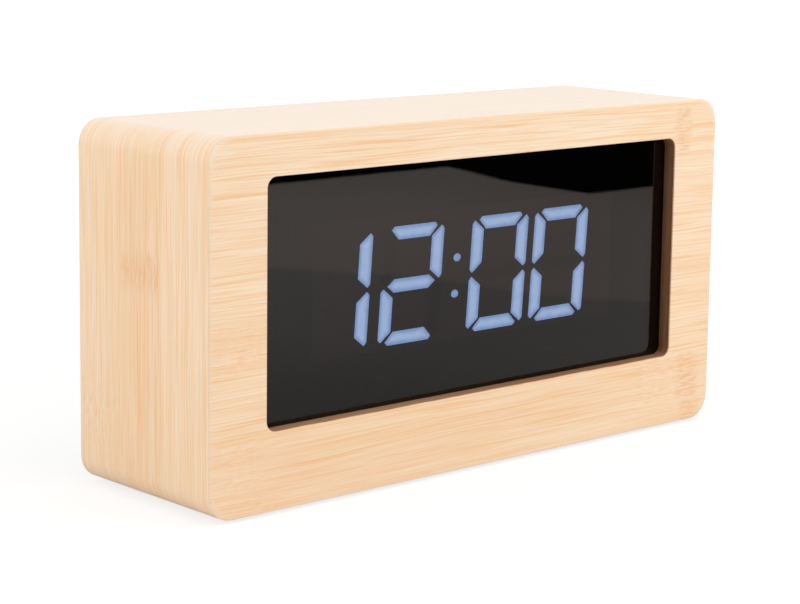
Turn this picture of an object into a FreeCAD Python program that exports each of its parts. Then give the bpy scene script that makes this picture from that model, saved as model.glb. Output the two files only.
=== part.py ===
import FreeCAD, Part
import math
import os

# A table clock: a veneered board case, a smoked lens in a window, a seven-segment
# display behind it, and a rear cover that holds the electronics and the cells.
# Millimetres. X runs along the front to the right, Y from the front to the back,
# Z up. The origin is the middle of the base, under the feet.

os.makedirs("parts", exist_ok=True)

# Case
case_width = 250.0
case_depth = 75.0
case_height = 128.0
corner_radius = 9.0
veneer = 0.6
veneer_seam = 0.3
panel_thickness = 4.7
board_thickness = 9.0
block_side = 14.0
block_length = 20.0
foot_height = 1.2
foot_radius = 6.0
foot_inset_x = 24.0
foot_inset_y = 14.0

# Window and lens
window_side_rail = 23.75
window_top_rail = 14.5
window_bottom_rail = 27.5
window_radius = 3.8
tape_thickness = 0.2
tape_width = 2.5
tape_inset = 1.0
lens_side_border = 9.0
lens_level_border = 4.2
lens_thickness = 2.5
lens_radius = 3.0

# Display module
display_level_margin = 2.9
display_right_margin = 14.2
tens_digit_room = 11.8
tens_digit_gap = 1.8
display_x = -1.45
display_rise = 0.3
reflector_depth = 8.0
fill_depth = 3.0
display_board_margin = 6.0
bracket_wall = 2.5
bracket_radius = 3.0
bracket_fit = 0.2
board_corner = 1.0

# Digits
digit_width = 28.8
digit_height = 42.25
digit_gap = 3.35
digit_drop = 1.3
digit_slant = 4.2
colon_room = 10.6
upright_stroke = 5.9
level_stroke = 4.8
segment_gap = 1.05
segment_clip = 1.25
tip_gap = 0.65
waist_gap = 1.75
colon_half_width = 1.8
colon_half_height = 1.45
colon_spacing = 13.2
colon_rise = 0.6
colon_shift = 0.3
indicator_radius = 1.2
indicator_inset = 8.0
indicator_spacing = 11.0
led_length = 1.6
led_width = 0.8
led_height = 0.8
led_share = 0.25

# Circuit boards and what is on them
circuit_thickness = 1.6
driver_length = 18.0
driver_width = 7.5
driver_height = 2.4
driver_leg_count = 14
driver_x = 35.0
controller_side = 10.0
controller_height = 1.6
controller_leg_count = 8
controller_shift = -24.0
controller_rise = 12.0
leg_width = 0.4
leg_reach = 1.2
leg_thickness = 0.3
crystal_length = 10.0
crystal_width = 4.0
crystal_height = 3.5
crystal_rise = -5.0
capacitor_radius = 3.15
capacitor_height = 11.0
capacitor_shift = 38.0
capacitor_rise = 14.0
chip_part_length = 2.0
chip_part_width = 1.2
chip_part_height = 0.6
chip_part_pitch = 6.0
chip_part_count = 8
chip_part_inset = 10.0
chip_part_rise = -16.0
circuit_width = 108.0
circuit_height = 60.0
circuit_x = -38.0
circuit_rise = 0.8
circuit_standoff = 8.0
circuit_screw_inset = 5.0
boss_radius = 3.2

# Flat cable between the boards
ribbon_shift = 8.0
ribbon_width = 12.0
ribbon_thickness = 0.9
header_width = 14.0
header_depth = 5.0
header_height = 6.0
header_rise = -4.0
ribbon_drop = 18.0

# Rear cover
cover_fit = 0.25
cover_thickness = 3.0
cover_recess = 2.2
cover_corner = 2.0
rib_thickness = 1.6
rib_depth = 6.0
rib_end_gap = 1.5

# Push buttons
button_pitch = 18.0
button_row_shift = -5.0
button_row_rise = 14.0
button_radius = 5.0
button_fit = 0.2
button_proud = 1.7
button_edge = 0.5
button_flange = 1.2
button_flange_thickness = 1.2
button_rest_gap = 0.1
button_post_radius = 2.0
button_travel = 0.5
symbol_height = 0.25
symbol_reach = 2.4
symbol_stroke = 0.55
tact_side = 6.0
tact_height = 3.5
plunger_radius = 1.75
plunger_tip = 5.0
plunger_length = 2.8
plunger_fit = 0.15
plunger_spare = 0.5

# Slide switch
socket_row_rise = -14.0
switch_shift = -36.0
switch_length = 8.6
switch_width = 3.7
switch_height = 3.5
knob_length = 2.4
knob_width = 1.8
knob_base = 1.5
knob_proud = 1.6
knob_fit = 0.2
knob_travel = 2.0
knob_groove = 0.3

# Sounder
sounder_shift = -7.0
sounder_radius = 6.0
sounder_height = 6.5
sounder_hole = 1.0
slot_count = 5
slot_pitch = 3.0
slot_width = 1.4
slot_length = 12.0

# Power inlet
inlet_shift = 30.0
inlet_width = 8.94
inlet_height = 3.26
inlet_wall = 0.3
inlet_mouth_depth = 6.5
inlet_sink = 0.3
inlet_fit = 0.3
tongue_width = 6.7
tongue_thickness = 0.7
tongue_length = 5.0

# Cells, their tub and its door
cell_radius = 5.25
cell_length = 44.5
cell_nub_radius = 1.9
cell_nub_length = 1.2
cell_count = 3
cell_gap = 0.7
cell_fit = 0.4
cell_floor_gap = 0.1
tub_gap = 20.0
tub_wall = 1.6
contact_thickness = 0.4
contact_width = 6.0
contact_height = 8.0
spring_reach = 3.6
door_thickness = 2.0
door_ledge = 2.5
door_fit = 0.2
door_rest_gap = 0.05
peg_radius = 0.6
peg_length = 1.2
peg_fit = 0.1
peg_end_gap = 0.2
latch_width = 16.0
latch_length = 7.0
latch_slot = 0.8
scoop_radius = 7.0
scoop_depth = 1.2
grip_count = 4
grip_pitch = 2.0
grip_width = 0.8
grip_length = 12.0
grip_height = 0.4

# Leads from the cells to the main board
lead_radius = 0.6
lead_standoff = 4.2
lead_spacing = 14.0
lead_landing = 4.0

# Screws
rear_screw_radius = 1.45
rear_screw_length = 14.0
rear_head_radius = 2.8
rear_head_height = 1.7
small_screw_radius = 1.1
small_screw_length = 6.0
small_head_radius = 2.1
small_head_height = 1.4
screw_fit = 0.15
pilot_fit = 0.05
drive_width = 0.6
drive_share = 0.62
drive_depth = 0.8

# Planes worked out from the sizes above
front = -case_depth / 2
back = case_depth / 2
case_middle = foot_height + case_height / 2
panel_front = front + veneer
panel_back = panel_front + panel_thickness
lens_front = panel_back + tape_thickness
lens_back = lens_front + lens_thickness
reflector_front = lens_back + tape_thickness
reflector_back = reflector_front + reflector_depth
display_board_back = reflector_back + circuit_thickness
window_width = case_width - 2 * window_side_rail
window_height = case_height - window_top_rail - window_bottom_rail
window_z = foot_height + window_bottom_rail + window_height / 2
digit_pitch = digit_width + digit_gap
display_width = (tens_digit_room + tens_digit_gap + 3 * digit_pitch + colon_room
                 + digit_width / 2 + display_right_margin)
display_left = display_x - display_width / 2
display_height = digit_height + 2 * display_level_margin
display_z = window_z + display_rise
digit_z = display_z - digit_drop
cavity_width = case_width - 2 * (veneer + board_thickness)
cavity_height = case_height - 2 * (veneer + board_thickness)
cover_back = back - cover_recess
cover_front = cover_back - cover_thickness
circuit_back = cover_front - circuit_standoff
circuit_front = circuit_back - circuit_thickness
circuit_left = circuit_x - circuit_width / 2
circuit_right = circuit_x + circuit_width / 2
circuit_z = case_middle + circuit_rise
circuit_low = circuit_z - circuit_height / 2
circuit_high = circuit_z + circuit_height / 2
button_z = circuit_z + button_row_rise
socket_row_z = circuit_z + socket_row_rise
switch_x = circuit_x + switch_shift
sounder_x = circuit_x + sounder_shift
inlet_x = circuit_x + inlet_shift
ribbon_x = circuit_x + ribbon_shift
header_z = circuit_z + header_rise
controller_x = circuit_x + controller_shift
door_front = cover_back - door_thickness
cell_y = door_front - cell_fit - cell_radius
tub_floor = cell_y - cell_radius - cell_floor_gap
cell_pitch = 2 * cell_radius + cell_gap
tub_length = cell_length + spring_reach + contact_thickness
tub_height = (cell_count - 1) * cell_pitch + 2 * (cell_radius + cell_fit)
tub_x = circuit_right + tub_gap + tub_wall + tub_length / 2
tub_z = circuit_z
door_left = tub_x - tub_length / 2 - door_ledge
door_right = tub_x + tub_length / 2 + door_ledge
door_bottom = tub_z - tub_height / 2 - door_ledge
door_top = tub_z + tub_height / 2 + door_ledge
hinge_y = cover_back - door_thickness / 2
hinge_z = door_bottom + door_thickness / 2

BACKWARD = FreeCAD.Vector(0, 1, 0)
ALONG = FreeCAD.Vector(1, 0, 0)
UPWARD = FreeCAD.Vector(0, 0, 1)
CORNERS = [(-1, -1), (1, -1), (1, 1), (-1, 1)]


def block(x0, x1, y0, y1, z0, z1):
    corner = FreeCAD.Vector(x0, y0, z0)
    return Part.makeBox(x1 - x0, y1 - y0, z1 - z0, corner)


def plate(width, height, radius, y0, y1, x=0.0, z=0.0):
    """A plate square to Y, round at the four corners where radius isn't 0."""
    solid = block(x - width / 2, x + width / 2, y0, y1, z - height / 2, z + height / 2)
    if radius <= 0:
        return solid
    upright = [edge for edge in solid.Edges
               if abs(edge.tangentAt(edge.FirstParameter).y) > 0.99]
    return solid.makeFillet(radius, upright)


def rod(x, z, radius, y0, y1):
    """A cylinder along Y."""
    return Part.makeCylinder(radius, y1 - y0, FreeCAD.Vector(x, y0, z), BACKWARD)


def prism(points, y0, y1):
    """The polygon of (x, z) points, drawn out along Y."""
    corners = [FreeCAD.Vector(x, y0, z) for x, z in points]
    face = Part.Face(Part.makePolygon(corners + corners[:1]))
    return face.extrude(FreeCAD.Vector(0, y1 - y0, 0))


def stadium(x, z, length, width, y0, y1):
    """A bar along X with half-round ends, drawn out along Y."""
    middle = block(x - (length - width) / 2, x + (length - width) / 2,
                   y0, y1, z - width / 2, z + width / 2)
    ends = [rod(x + side * (length - width) / 2, z, width / 2, y0, y1) for side in (-1, 1)]
    return middle.fuse(ends).removeSplitter()


def upright_stadium(x, z, length, width, y0, y1):
    """The same bar, along Z."""
    bar = stadium(x, z, length, width, y0, y1)
    bar.rotate(FreeCAD.Vector(x, 0, z), BACKWARD, 90)
    return bar


def save(name, *solids):
    """Write one node, as one solid or as a group of separate ones."""
    shape = solids[0] if len(solids) == 1 else Part.makeCompound(list(solids))
    shape.exportStep("parts/%s.step" % name)
    volume = sum(solid.Volume for solid in shape.Solids)
    print("%-22s %3d solids %10.1f mm3 valid %s"
          % (name, len(shape.Solids), volume, shape.isValid()))


# Case

def mitred_board(half_length, reach, turn):
    """One side of the case, outer corners round, ends cut at 45 degrees.

    It is drawn as the top board, half_length to each side and reach above the
    middle of the case, and turned about Y into its place."""
    radius = corner_radius - veneer
    bend = radius * (1 - math.sqrt(0.5))
    near = radius * (1 - math.cos(math.radians(22.5)))
    far = radius * (1 - math.sin(math.radians(22.5)))

    def at(x, z):
        return FreeCAD.Vector(x, panel_back, z)

    inner_left = at(-half_length + board_thickness, reach - board_thickness)
    inner_right = at(half_length - board_thickness, reach - board_thickness)
    mitre_right = at(half_length - bend, reach - bend)
    mitre_left = at(-half_length + bend, reach - bend)
    flat_right = at(half_length - radius, reach)
    flat_left = at(-half_length + radius, reach)
    arc_right = Part.Arc(mitre_right, at(half_length - far, reach - near), flat_right)
    arc_left = Part.Arc(flat_left, at(-half_length + far, reach - near), mitre_left)
    wire = Part.Wire([
        Part.makeLine(inner_left, inner_right),
        Part.makeLine(inner_right, mitre_right),
        arc_right.toShape(),
        Part.makeLine(flat_right, flat_left),
        arc_left.toShape(),
        Part.makeLine(mitre_left, inner_left)])
    board = Part.Face(wire).extrude(FreeCAD.Vector(0, back - panel_back, 0))
    board.rotate(FreeCAD.Vector(0, 0, 0), BACKWARD, turn)
    board.translate(FreeCAD.Vector(0, 0, case_middle))
    return board


def case_outline(inset, y0, y1):
    """The case's outline in front view, drawn in by inset."""
    return plate(case_width - 2 * inset, case_height - 2 * inset, corner_radius - inset,
                 y0, y1, 0, case_middle)


def window(y0, y1):
    return plate(window_width, window_height, window_radius, y0, y1, 0, window_z)


def block_centres():
    for side_x, side_z in CORNERS:
        x = side_x * (cavity_width - block_side) / 2
        z = case_middle + side_z * (cavity_height - block_side) / 2
        yield x, z


def foot_centres():
    for side_x, side_y in CORNERS:
        yield side_x * (case_width / 2 - foot_inset_x), side_y * (case_depth / 2 - foot_inset_y)


def make_case():
    half_width = case_width / 2 - veneer
    half_height = case_height / 2 - veneer
    save("top_board", mitred_board(half_width, half_height, 0))
    save("right_board", mitred_board(half_height, half_width, 90))
    save("bottom_board", mitred_board(half_width, half_height, 180))
    save("left_board", mitred_board(half_height, half_width, 270))
    save("front_panel", case_outline(veneer, panel_front, panel_back).cut(window(panel_front, panel_back)))
    save("front_veneer", case_outline(0, front, panel_front).cut(window(front, panel_front)))
    wrap = case_outline(0, panel_front, back).cut(case_outline(veneer, panel_front, back))
    seam = block(-veneer_seam / 2, veneer_seam / 2, panel_front, back,
                 foot_height, foot_height + veneer)
    save("wrap_veneer", wrap.cut(seam))

    blocks = []
    for x, z in block_centres():
        wood = plate(block_side, block_side, 0, cover_front - block_length, cover_front, x, z)
        depth = rear_screw_length - cover_thickness
        pilot = rod(x, z, rear_screw_radius + pilot_fit, cover_front - depth, cover_front)
        blocks.append(wood.cut(pilot))
    save("corner_blocks", *blocks)

    feet = [Part.makeCylinder(foot_radius, foot_height, FreeCAD.Vector(x, y, 0), UPWARD)
            for x, y in foot_centres()]
    save("feet", *feet)


# Lens and display

def tape_ring(inner_width, inner_height, y0, z):
    """A ring of double-sided tape round an opening."""
    y1 = y0 + tape_thickness
    outer = plate(inner_width + 2 * tape_width, inner_height + 2 * tape_width,
                  window_radius, y0, y1, 0, z)
    return outer.cut(plate(inner_width, inner_height, window_radius, y0, y1, 0, z))


def make_lens():
    save("lens", plate(window_width + 2 * lens_side_border, window_height + 2 * lens_level_border,
                       lens_radius, lens_front, lens_back, 0, window_z))
    save("lens_tape", tape_ring(window_width + 2 * tape_inset,
                                window_height + 2 * tape_inset, panel_back, window_z))


def level_segment(z, side):
    """The top bar of a digit, with side 1, or the bottom one, with side -1."""
    half = digit_width / 2
    inner = half - upright_stroke - segment_gap
    shoulder = inner + level_stroke - segment_clip
    outline = [(-inner, z - side * level_stroke),
               (inner, z - side * level_stroke),
               (shoulder, z - side * segment_clip),
               (shoulder - segment_clip, z),
               (segment_clip - shoulder, z),
               (-shoulder, z - side * segment_clip)]
    return outline


def middle_segment():
    """The bar across the middle of a digit."""
    tip = digit_width / 2 - segment_clip - waist_gap
    lean = (level_stroke - segment_clip) / (upright_stroke - segment_clip)
    shoulder = tip - level_stroke / 2 / lean
    half = level_stroke / 2
    return [(-tip, 0), (-shoulder, -half), (shoulder, -half), (tip, 0), (shoulder, half), (-shoulder, half)]


def upright_segment(side_x, side_z):
    """One of the four upright bars of a digit."""
    x = digit_width / 2
    z = digit_height / 2
    outline = [(x - upright_stroke, z - level_stroke),
               (x - segment_clip, z - segment_clip),
               (x, z - 2 * segment_clip),
               (x, tip_gap + segment_clip),
               (x - segment_clip, tip_gap),
               (x - upright_stroke, tip_gap + level_stroke - segment_clip)]
    return [(side_x * px, side_z * pz) for px, pz in outline]


def slanted(outline, x):
    """The outline leaned to the right like the digits, and set at x."""
    lean = math.tan(math.radians(digit_slant))
    return [(x + px + lean * pz, digit_z + pz) for px, pz in outline]


SEGMENTS = {
    "a": level_segment(digit_height / 2, 1),
    "b": upright_segment(1, 1),
    "c": upright_segment(1, -1),
    "d": level_segment(-digit_height / 2, -1),
    "e": upright_segment(-1, -1),
    "f": upright_segment(-1, 1),
    "g": middle_segment(),
}
# The tens digit of a twelve-hour clock has two segments only.
DIGITS = [(0, "bc", ""), (1, "abged", "cf"), (2, "abcdef", "g"), (3, "abcdef", "g")]


def digit_x(place):
    """Centre of a digit: the tens digit stands apart, and the colon before the third."""
    x = display_left + tens_digit_room + place * digit_pitch
    if place > 0:
        x += tens_digit_gap
    if place > 1:
        x += colon_room
    return x


def segment_solids(names_of):
    """Solids of the chosen segments, as deep as the fill in their cavities."""
    solids = []
    for digit in DIGITS:
        for name in names_of(digit):
            outline = slanted(SEGMENTS[name], digit_x(digit[0]))
            solids.append(prism(outline, reflector_front, reflector_front + fill_depth))
    return solids


def colon_centres():
    middle = (digit_x(1) + digit_x(2)) / 2 + colon_shift
    lean = math.tan(math.radians(digit_slant))
    for side in (1, -1):
        rise = colon_rise + side * colon_spacing / 2
        yield middle + lean * rise, digit_z + rise


def colon_dot(x, z, y0, y1):
    """An oval dot, a little wider than it is high."""
    ellipse = Part.Ellipse(FreeCAD.Vector(0, 0, 0), colon_half_width, colon_half_height)
    face = Part.Face(Part.Wire([ellipse.toShape()]))
    dot = face.extrude(FreeCAD.Vector(0, 0, y1 - y0))
    dot.rotate(FreeCAD.Vector(0, 0, 0), ALONG, -90)
    dot.translate(FreeCAD.Vector(x, y0, z))
    return dot


def indicator_centres():
    x = display_left + indicator_inset
    for side in (-1, 1):
        yield x, digit_z + side * indicator_spacing / 2


def deepened(solid):
    """The cavity behind a fill: the same outline through the whole reflector."""
    outline = min(solid.Faces, key=lambda face: face.CenterOfMass.y)
    return outline.extrude(FreeCAD.Vector(0, reflector_depth, 0))


def chip_places():
    """Two LED chips behind each bar and one behind each dot, as (x, z)."""
    for place, lit, unlit in DIGITS:
        for name in lit + unlit:
            xs = [point[0] for point in slanted(SEGMENTS[name], digit_x(place))]
            zs = [point[1] for point in slanted(SEGMENTS[name], digit_x(place))]
            middle_x = (min(xs) + max(xs)) / 2
            middle_z = (min(zs) + max(zs)) / 2
            is_upright = name in "bcef"
            for side in (-led_share, led_share):
                if is_upright:
                    yield middle_x, middle_z + side * (max(zs) - min(zs))
                else:
                    yield middle_x + side * (max(xs) - min(xs)), middle_z
    yield from colon_centres()
    yield from indicator_centres()


def screw(x, z, seat, toward, radius, length, head_radius, head_height):
    """A pan head screw along Y. Its head stands on seat, and its shank goes toward -1 or 1."""
    shank_end = seat + toward * length
    head_end = seat - toward * head_height
    shank = rod(x, z, radius, min(seat, shank_end), max(seat, shank_end))
    head = rod(x, z, head_radius, min(seat, head_end), max(seat, head_end))
    drive_bottom = head_end + toward * drive_depth
    low = min(head_end, drive_bottom)
    high = max(head_end, drive_bottom)
    reach = head_radius * drive_share
    cross = block(x - reach, x + reach, low, high, z - drive_width / 2, z + drive_width / 2)
    cross = cross.fuse(block(x - drive_width / 2, x + drive_width / 2, low, high, z - reach, z + reach))
    return shank.fuse(head).removeSplitter().cut(cross)


def display_screw_centres():
    for side_x, side_z in CORNERS:
        yield (display_x + side_x * (display_width + display_board_margin) / 2,
               display_z + side_z * (display_height + display_board_margin) / 2)


def legs_beside(x, z, length, width, y0, toward, count):
    """Rows of flat legs along the two long sides of a chip, on the board at y0."""
    legs = []
    pitch = length / count
    for number in range(count):
        leg_x = x - length / 2 + (number + 0.5) * pitch
        for side in (-1, 1):
            edge = z + side * width / 2
            y1 = y0 + toward * leg_thickness
            legs.append(block(leg_x - leg_width / 2, leg_x + leg_width / 2,
                              min(y0, y1), max(y0, y1),
                              min(edge, edge + side * leg_reach), max(edge, edge + side * leg_reach)))
    return legs


def make_display():
    lit = segment_solids(lambda digit: digit[1])
    lit += [colon_dot(x, z, reflector_front, reflector_front + fill_depth)
            for x, z in colon_centres()]
    unlit = segment_solids(lambda digit: digit[2])
    unlit += [rod(x, z, indicator_radius, reflector_front, reflector_front + fill_depth)
              for x, z in indicator_centres()]
    save("lit_segments", *lit)
    save("unlit_segments", *unlit)
    body = plate(display_width, display_height, 0, reflector_front, reflector_back,
                 display_x, display_z)
    save("display_reflector", body.cut([deepened(solid) for solid in lit + unlit]))

    board_width = display_width + 2 * display_board_margin
    board_height = display_height + 2 * display_board_margin
    board = plate(board_width, board_height, board_corner, reflector_back, display_board_back,
                  display_x, display_z)
    holes = [rod(x, z, small_screw_radius + screw_fit, reflector_back, display_board_back)
             for x, z in display_screw_centres()]
    save("display_board", board.cut(holes))
    chips = [block(x - led_length / 2, x + led_length / 2, reflector_back - led_height,
                   reflector_back, z - led_width / 2, z + led_width / 2)
             for x, z in chip_places()]
    save("led_chips", *chips)

    frame_width = board_width + 2 * (bracket_fit + bracket_wall)
    frame_height = board_height + 2 * (bracket_fit + bracket_wall)
    frame = plate(frame_width, frame_height, bracket_radius,
                  reflector_front, display_board_back, display_x, display_z)
    opening = plate(display_width + 2 * bracket_fit, display_height + 2 * bracket_fit, 0,
                    reflector_front, reflector_back, display_x, display_z)
    pocket = plate(board_width + 2 * bracket_fit, board_height + 2 * bracket_fit, 0,
                   reflector_back, display_board_back, display_x, display_z)
    depth = small_screw_length - circuit_thickness
    pilots = [rod(x, z, small_screw_radius + pilot_fit, reflector_back - depth, reflector_back)
              for x, z in display_screw_centres()]
    save("display_bracket", frame.cut([opening, pocket] + pilots))
    tape = plate(frame_width, frame_height, bracket_radius, lens_back, reflector_front,
                 display_x, display_z)
    clear = plate(display_width + 2 * bracket_fit, display_height + 2 * bracket_fit, 0,
                  lens_back, reflector_front, display_x, display_z)
    save("bracket_tape", tape.cut(clear))
    screws = [screw(x, z, display_board_back, -1, small_screw_radius, small_screw_length,
                    small_head_radius, small_head_height) for x, z in display_screw_centres()]
    save("bracket_screws", *screws)

    save("driver_chip", plate(driver_length, driver_width, 0, display_board_back,
                              display_board_back + driver_height, driver_x, display_z))
    save("driver_legs", *legs_beside(driver_x, display_z, driver_length, driver_width,
                                     display_board_back, 1, driver_leg_count))


# Main board

def circuit_screw_centres():
    inset = circuit_screw_inset
    for x in (circuit_left + inset, circuit_right - inset):
        for z in (circuit_low + inset, circuit_high - inset):
            yield x, z


def make_main_board():
    board = block(circuit_left, circuit_right, circuit_front, circuit_back, circuit_low, circuit_high)
    holes = [rod(x, z, small_screw_radius + screw_fit, circuit_front, circuit_back)
             for x, z in circuit_screw_centres()]
    save("main_board", board.cut(holes))
    screws = [screw(x, z, circuit_front, 1, small_screw_radius, small_screw_length,
                    small_head_radius, small_head_height) for x, z in circuit_screw_centres()]
    save("board_screws", *screws)
    save("microcontroller", plate(controller_side, controller_side, 0,
                                  circuit_front - controller_height, circuit_front,
                                  controller_x, circuit_z + controller_rise))
    save("controller_legs", *legs_beside(controller_x, circuit_z + controller_rise, controller_side,
                                         controller_side, circuit_front, -1,
                                         controller_leg_count))
    save("crystal", stadium(controller_x, circuit_z + crystal_rise, crystal_length, crystal_width,
                            circuit_front - crystal_height, circuit_front))
    can = rod(circuit_x + capacitor_shift, circuit_z + capacitor_rise, capacitor_radius,
              circuit_front - capacitor_height, circuit_front)
    save("capacitor", can)
    parts = []
    for number in range(chip_part_count):
        x = circuit_left + chip_part_inset + number * chip_part_pitch
        parts.append(plate(chip_part_length, chip_part_width, 0,
                           circuit_front - chip_part_height, circuit_front,
                           x, circuit_z + chip_part_rise))
    save("chip_parts", *parts)

    sounder = rod(sounder_x, socket_row_z, sounder_radius, circuit_back, circuit_back + sounder_height)
    hole = rod(sounder_x, socket_row_z, sounder_hole,
               circuit_back + sounder_height / 2, circuit_back + sounder_height)
    save("sounder", sounder.cut(hole))


def make_inlet():
    mouth = cover_back - inlet_sink
    outer = stadium(inlet_x, socket_row_z, inlet_width, inlet_height, circuit_back, mouth)
    inner = stadium(inlet_x, socket_row_z, inlet_width - 2 * inlet_wall,
                    inlet_height - 2 * inlet_wall, circuit_back, mouth)
    save("inlet_shell", outer.cut(inner))
    base_end = mouth - inlet_mouth_depth
    base = stadium(inlet_x, socket_row_z, inlet_width - 2 * inlet_wall,
                   inlet_height - 2 * inlet_wall, circuit_back, base_end)
    tongue = plate(tongue_width, tongue_thickness, 0, base_end, base_end + tongue_length,
                   inlet_x, socket_row_z)
    save("inlet_insulator", base.fuse(tongue).removeSplitter())


def make_ribbon():
    display_y = display_board_back + header_depth / 2
    main_y = circuit_front - header_depth / 2
    headers = [plate(header_width, header_height, 0, display_board_back,
                     display_board_back + header_depth, ribbon_x, header_z + header_height / 2),
               plate(header_width, header_height, 0, circuit_front - header_depth,
                     circuit_front, ribbon_x, header_z + header_height / 2)]
    save("ribbon_headers", *headers)

    turn_y = (display_y + main_y) / 2
    turn_z = header_z - ribbon_drop
    x = ribbon_x - ribbon_width / 2

    def loop_edges(radius):
        """One face of the flat cable: down from one header, round, and up to the other."""
        left_top = FreeCAD.Vector(x, turn_y - radius, header_z)
        left_low = FreeCAD.Vector(x, turn_y - radius, turn_z)
        bottom = FreeCAD.Vector(x, turn_y, turn_z - radius)
        right_low = FreeCAD.Vector(x, turn_y + radius, turn_z)
        right_top = FreeCAD.Vector(x, turn_y + radius, header_z)
        return [Part.makeLine(left_top, left_low),
                Part.Arc(left_low, bottom, right_low).toShape(),
                Part.makeLine(right_low, right_top)], left_top, right_top

    radius = (main_y - display_y) / 2
    outer, outer_start, outer_end = loop_edges(radius + ribbon_thickness / 2)
    inner, inner_start, inner_end = loop_edges(radius - ribbon_thickness / 2)
    ends = [Part.makeLine(outer_end, inner_end), Part.makeLine(inner_start, outer_start)]
    wire = Part.Wire(Part.__sortEdges__(outer + inner + ends))
    save("ribbon_cable", Part.Face(wire).extrude(FreeCAD.Vector(ribbon_width, 0, 0)))


# Buttons and switches

def clock_symbol(x, z, y0, y1):
    """A ring with two hands."""
    ring = rod(x, z, symbol_reach, y0, y1).cut(rod(x, z, symbol_reach - symbol_stroke, y0, y1))
    half = symbol_stroke / 2
    hand = block(x - half, x + half, y0, y1, z - half, z + symbol_reach - symbol_stroke / 2)
    other = block(x - symbol_reach * 0.6, x + half, y0, y1, z - half, z + half)
    return ring.fuse([hand, other]).removeSplitter()


def triangle_symbol(side, x, z, y0, y1):
    half = symbol_reach
    return prism([(x - half, z - side * half * 0.6), (x + half, z - side * half * 0.6),
                  (x, z + side * half * 0.8)], y0, y1)


def bell_symbol(x, z, y0, y1):
    """A round-topped bell on a bar, with its clapper below."""
    half = symbol_reach * 0.6
    dome = rod(x, z + half * 0.4, half, y0, y1)
    skirt = prism([(x - half, z + half * 0.4), (x + half, z + half * 0.4),
                   (x + symbol_reach, z - half), (x - symbol_reach, z - half)], y0, y1)
    clapper = rod(x, z - half, symbol_stroke, y0, y1)
    return dome.fuse([skirt, clapper]).removeSplitter()


BUTTONS = [
    ("clock", clock_symbol),
    ("alarm", bell_symbol),
    ("up", lambda *place: triangle_symbol(1, *place)),
    ("down", lambda *place: triangle_symbol(-1, *place)),
]


def button_x(number):
    """Centre of a button: the row runs to the right as seen from behind."""
    middle = (len(BUTTONS) - 1) / 2
    return circuit_x + button_row_shift + (middle - number) * button_pitch


def make_buttons():
    tip = circuit_back + plunger_tip
    bore_bottom = tip - plunger_length - button_travel - plunger_spare
    tacts = []
    for number, (name, symbol) in enumerate(BUTTONS):
        x = button_x(number)
        flange_back = cover_front - button_rest_gap
        flange_front = flange_back - button_flange_thickness
        cap_back = cover_back + button_proud
        cap = rod(x, button_z, button_radius, flange_front, cap_back)
        rim = max(cap.Edges, key=lambda edge: edge.CenterOfMass.y)
        cap = cap.makeFillet(button_edge, [rim])
        flange = rod(x, button_z, button_radius + button_flange, flange_front, flange_back)
        post = rod(x, button_z, button_post_radius, tip, flange_front)
        mark = symbol(x, button_z, cap_back, cap_back + symbol_height)
        save("button_" + name, cap.fuse([flange, post, mark]).removeSplitter())

        plunger = rod(x, button_z, plunger_radius, tip - plunger_length, tip)
        save("plunger_" + name, plunger)
        body = plate(tact_side, tact_side, 0, circuit_back, circuit_back + tact_height, x, button_z)
        bore = rod(x, button_z, plunger_radius + plunger_fit, bore_bottom, circuit_back + tact_height)
        tacts.append(body.cut(bore))
    save("tact_switches", *tacts)


def switch_slot(x, y0, y1, fit):
    """The room that the knob's stalk sweeps, with a fit all round."""
    length = knob_length + knob_travel + 2 * fit
    return block(x - length / 2, x + length / 2, y0, y1,
                 socket_row_z - knob_width / 2 - fit, socket_row_z + knob_width / 2 + fit)


def make_slide_switch():
    body = plate(switch_length, switch_width, 0, circuit_back, circuit_back + switch_height,
                 switch_x, socket_row_z)
    room = switch_slot(switch_x, circuit_back + knob_base - knob_fit,
                       circuit_back + switch_height, knob_fit)
    save("slide_switch_body", body.cut(room))
    x = switch_x - knob_travel / 2
    tip = cover_back + knob_proud
    stalk = plate(knob_length, knob_width, 0, circuit_back + knob_base, tip, x, socket_row_z)
    grooves = [block(x + side * knob_length / 5 - knob_groove / 2,
                     x + side * knob_length / 5 + knob_groove / 2,
                     tip - knob_groove, tip, socket_row_z - knob_width / 2, socket_row_z + knob_width / 2)
               for side in (-1, 1)]
    save("slide_switch_knob", stalk.cut(grooves))


# Rear cover, cells and door

def cover_ribs():
    """Four stiffening ribs behind the cover's edges, between the corner blocks."""
    half_width = cavity_width / 2 - cover_fit
    half_height = cavity_height / 2 - cover_fit
    run_x = cavity_width / 2 - block_side - rib_end_gap
    run_z = cavity_height / 2 - block_side - rib_end_gap
    y0 = cover_front - rib_depth
    ribs = []
    for side in (-1, 1):
        edge = side * half_width
        inner = edge - side * rib_thickness
        ribs.append(block(min(edge, inner), max(edge, inner), y0, cover_front,
                          case_middle - run_z, case_middle + run_z))
        edge = case_middle + side * half_height
        inner = edge - side * rib_thickness
        ribs.append(block(-run_x, run_x, y0, cover_front, min(edge, inner), max(edge, inner)))
    return ribs


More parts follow.
